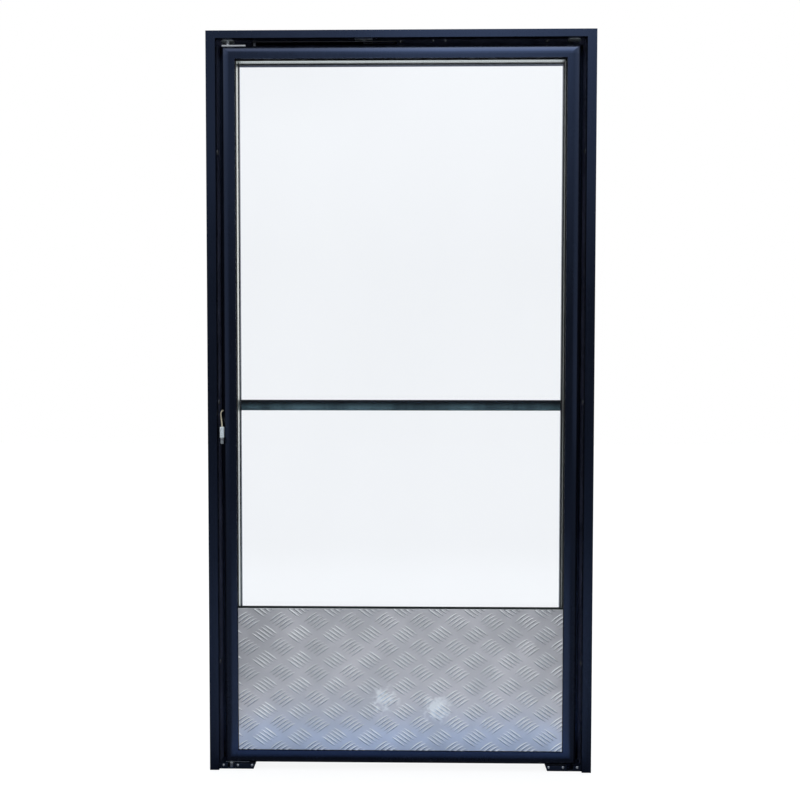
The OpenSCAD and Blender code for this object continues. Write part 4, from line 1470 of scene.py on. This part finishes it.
@dataclass
class Screws:
    """Pan-head screws with a cross recess, set at named places."""

    head_d: float = 7.0
    head_t: float = 1.8
    head_steps: int = 5
    head_round: float = 0.8
    head_rim: float = 0.45
    head_dome: float = 0.55
    shank_d: float = 4.0
    shank_len: float = 9.0
    shank_tip: float = 0.6
    turn_steps: int = 24
    weld: float = 1e-6
    recess: float = 0.9
    recess_arm: float = 1.8
    recess_half: float = 0.4
    block_x: tuple[float, ...] = (484.0, 445.0, 406.0)
    block_depth: float = 6.0
    block_z: float = 10.5
    mid_depth: float = 17.0
    bracket_x: Range = (-114.5, -82.5)
    bracket_z: float = 1975.0
    soffit_x: Range = (87.0, 120.0)
    soffit_z: float = 1977.0
    plate_x: Range = (-445.5, -425.5)
    plate_z: float = 1964.5
    bar_x: float = 457.5
    bar_depth: float = 43.0
    bar_z: Range = (983.0, 1013.0)

    def places(self) -> dict[str, tuple[Body, list[tuple[Vector, Point]]]]:
        """Where screws go.

        Returns:
            CAD node to its body and the place and outward direction of each screw.
        """
        front, back, up, down = (0, -1, 0), (0, 1, 0), (0, 0, 1), (0, 0, -1)
        blocks = [(at(side * x, self.block_depth, self.block_z), front)
                  for side in (-1, 1) for x in self.block_x]
        head = [(at(x, self.mid_depth, self.bracket_z), down) for x in self.bracket_x]
        head += [(at(x, self.mid_depth, self.soffit_z), down) for x in self.soffit_x]
        plate = [(at(x, self.mid_depth, self.plate_z), up) for x in self.plate_x]
        bar = [(at(side * self.bar_x, self.bar_depth, z), back)
               for side in (-1, 1) for z in self.bar_z]
        return {"block_screws": (Body.FRAME, blocks), "head_screws": (Body.FRAME, head),
                "hinge_plate_screws": (Body.LEAF, plate), "push_bar_screws": (Body.LEAF, bar)}

    def outline(self) -> list[Range]:
        """Half of a screw's section.

        Returns:
            Radius and height of its corners in millimetres, from the head's top to the tip.
        """
        corners = [(0.0, self.head_t)]
        for i in range(1, self.head_steps + 1):
            angle = math.radians(90 * i / self.head_steps)
            height = self.head_rim + self.head_dome * math.cos(angle)
            corners.append((self.head_d / 2 * math.sin(angle) ** self.head_round,
                            self.head_t * height))
        shank = self.shank_d / 2
        return corners + [(self.head_d / 2, 0.0), (shank, 0.0),
                          (shank, self.shank_tip - self.shank_len), (0.0, -self.shank_len)]

    def template(self) -> Piece:
        """One screw with its head's underside at the origin.

        Returns:
            A template object, used only by the layout.
        """
        shape = bmesh.new()
        verts = [shape.verts.new((mm(r), 0.0, mm(z))) for r, z in self.outline()]
        edges = [shape.edges.new(pair) for pair in zip(verts, verts[1:])]
        bmesh.ops.spin(shape, geom=verts + edges, cent=(0, 0, 0), axis=(0, 0, 1), angle=math.tau,
                       steps=self.turn_steps)
        bmesh.ops.remove_doubles(shape, verts=shape.verts, dist=self.weld)
        bmesh.ops.recalc_face_normals(shape, faces=shape.faces)
        screw = new_mesh("screw", shape, Finishes.zinc)
        cutter = self.cross()
        cut = screw.modifiers.new("recess", "BOOLEAN")
        cut.operation = "DIFFERENCE"
        cut.object = cutter
        settle(screw)
        bpy.data.objects.remove(cutter)
        screw.data.shade_smooth()
        screw.data.set_sharp_from_angle(angle=SHARP_EDGE)
        return screw

    def cross(self) -> Piece:
        """The cross that is cut out of a head.

        Returns:
            A cutter object.
        """
        shape = bmesh.new()
        arm, half = self.recess_arm, self.recess_half
        quarter = [(arm, -half), (arm, half), (half, half)]
        turns = ((1, 0), (0, 1), (-1, 0), (0, -1))
        plan = [(x * c - y * s, x * s + y * c) for c, s in turns for x, y in quarter]
        floor = mm(self.head_t - self.recess)
        low = [shape.verts.new((mm(x), mm(y), floor)) for x, y in plan]
        made = bmesh.ops.extrude_face_region(shape, geom=[shape.faces.new(low)])
        raised = [g for g in made["geom"] if isinstance(g, bmesh.types.BMVert)]
        bmesh.ops.translate(shape, vec=(0, 0, mm(2 * self.recess)), verts=raised)
        bmesh.ops.recalc_face_normals(shape, faces=shape.faces)
        return new_mesh("cross", shape, Finishes.zinc)

    def tree(self) -> Tree:
        """Builds the geometry tree that sets a screw at each point, along its stored direction.

        Returns:
            The node tree.
        """
        layout = NodeGroup("screw_layout", {
            "Points": "NodeSocketGeometry", "Screw": "NodeSocketObject",
            "Finish": "NodeSocketMaterial"})
        screw = layout.add("GeometryNodeObjectInfo", {"Object": layout.given["Screw"]})
        facing = layout.add("GeometryNodeInputNamedAttribute", {"Name": "facing"},
                            data_type="FLOAT_VECTOR")
        turn = layout.add("FunctionNodeAlignRotationToVector",
                          {"Vector": facing.outputs["Attribute"]}, axis="Z")
        return layout.realise(layout.add("GeometryNodeInstanceOnPoints", {
            "Points": layout.given["Points"], "Instance": screw.outputs["Geometry"],
            "Rotation": turn}))

    def build(self) -> None:
        """Sets every screw."""
        template = self.template()
        tree = self.tree()
        for node, (body, spots) in self.places().items():
            piece = new_mesh(node + "_set", finish=Finishes.zinc)
            piece.data.from_pydata([tuple(place) for place, _ in spots], [], [])
            facing = piece.data.attributes.new("facing", "FLOAT_VECTOR", "POINT")
            for item, (_, direction) in zip(facing.data, spots):
                item.vector = direction
            lay_out(piece, tree, {"Screw": template, "Finish": Finishes.zinc.material()})
            enlist(piece, body, node)
        bpy.data.objects.remove(template)


def main() -> None:
    """Builds the scene in order."""
    logging.basicConfig(level=logging.INFO, format="%(name)s %(message)s")
    for assembly in (Photographer(), HeaterLead(), DoorFrame(), LeafFrame(), Glazing(),
                     KickPlates(), PushBar(), Hinges(), HoldOpenStay(), Screws(), Studio()):
        assembly.build()
        log.info("%s done", type(assembly).__name__)


if __name__ == "__main__":
    main()
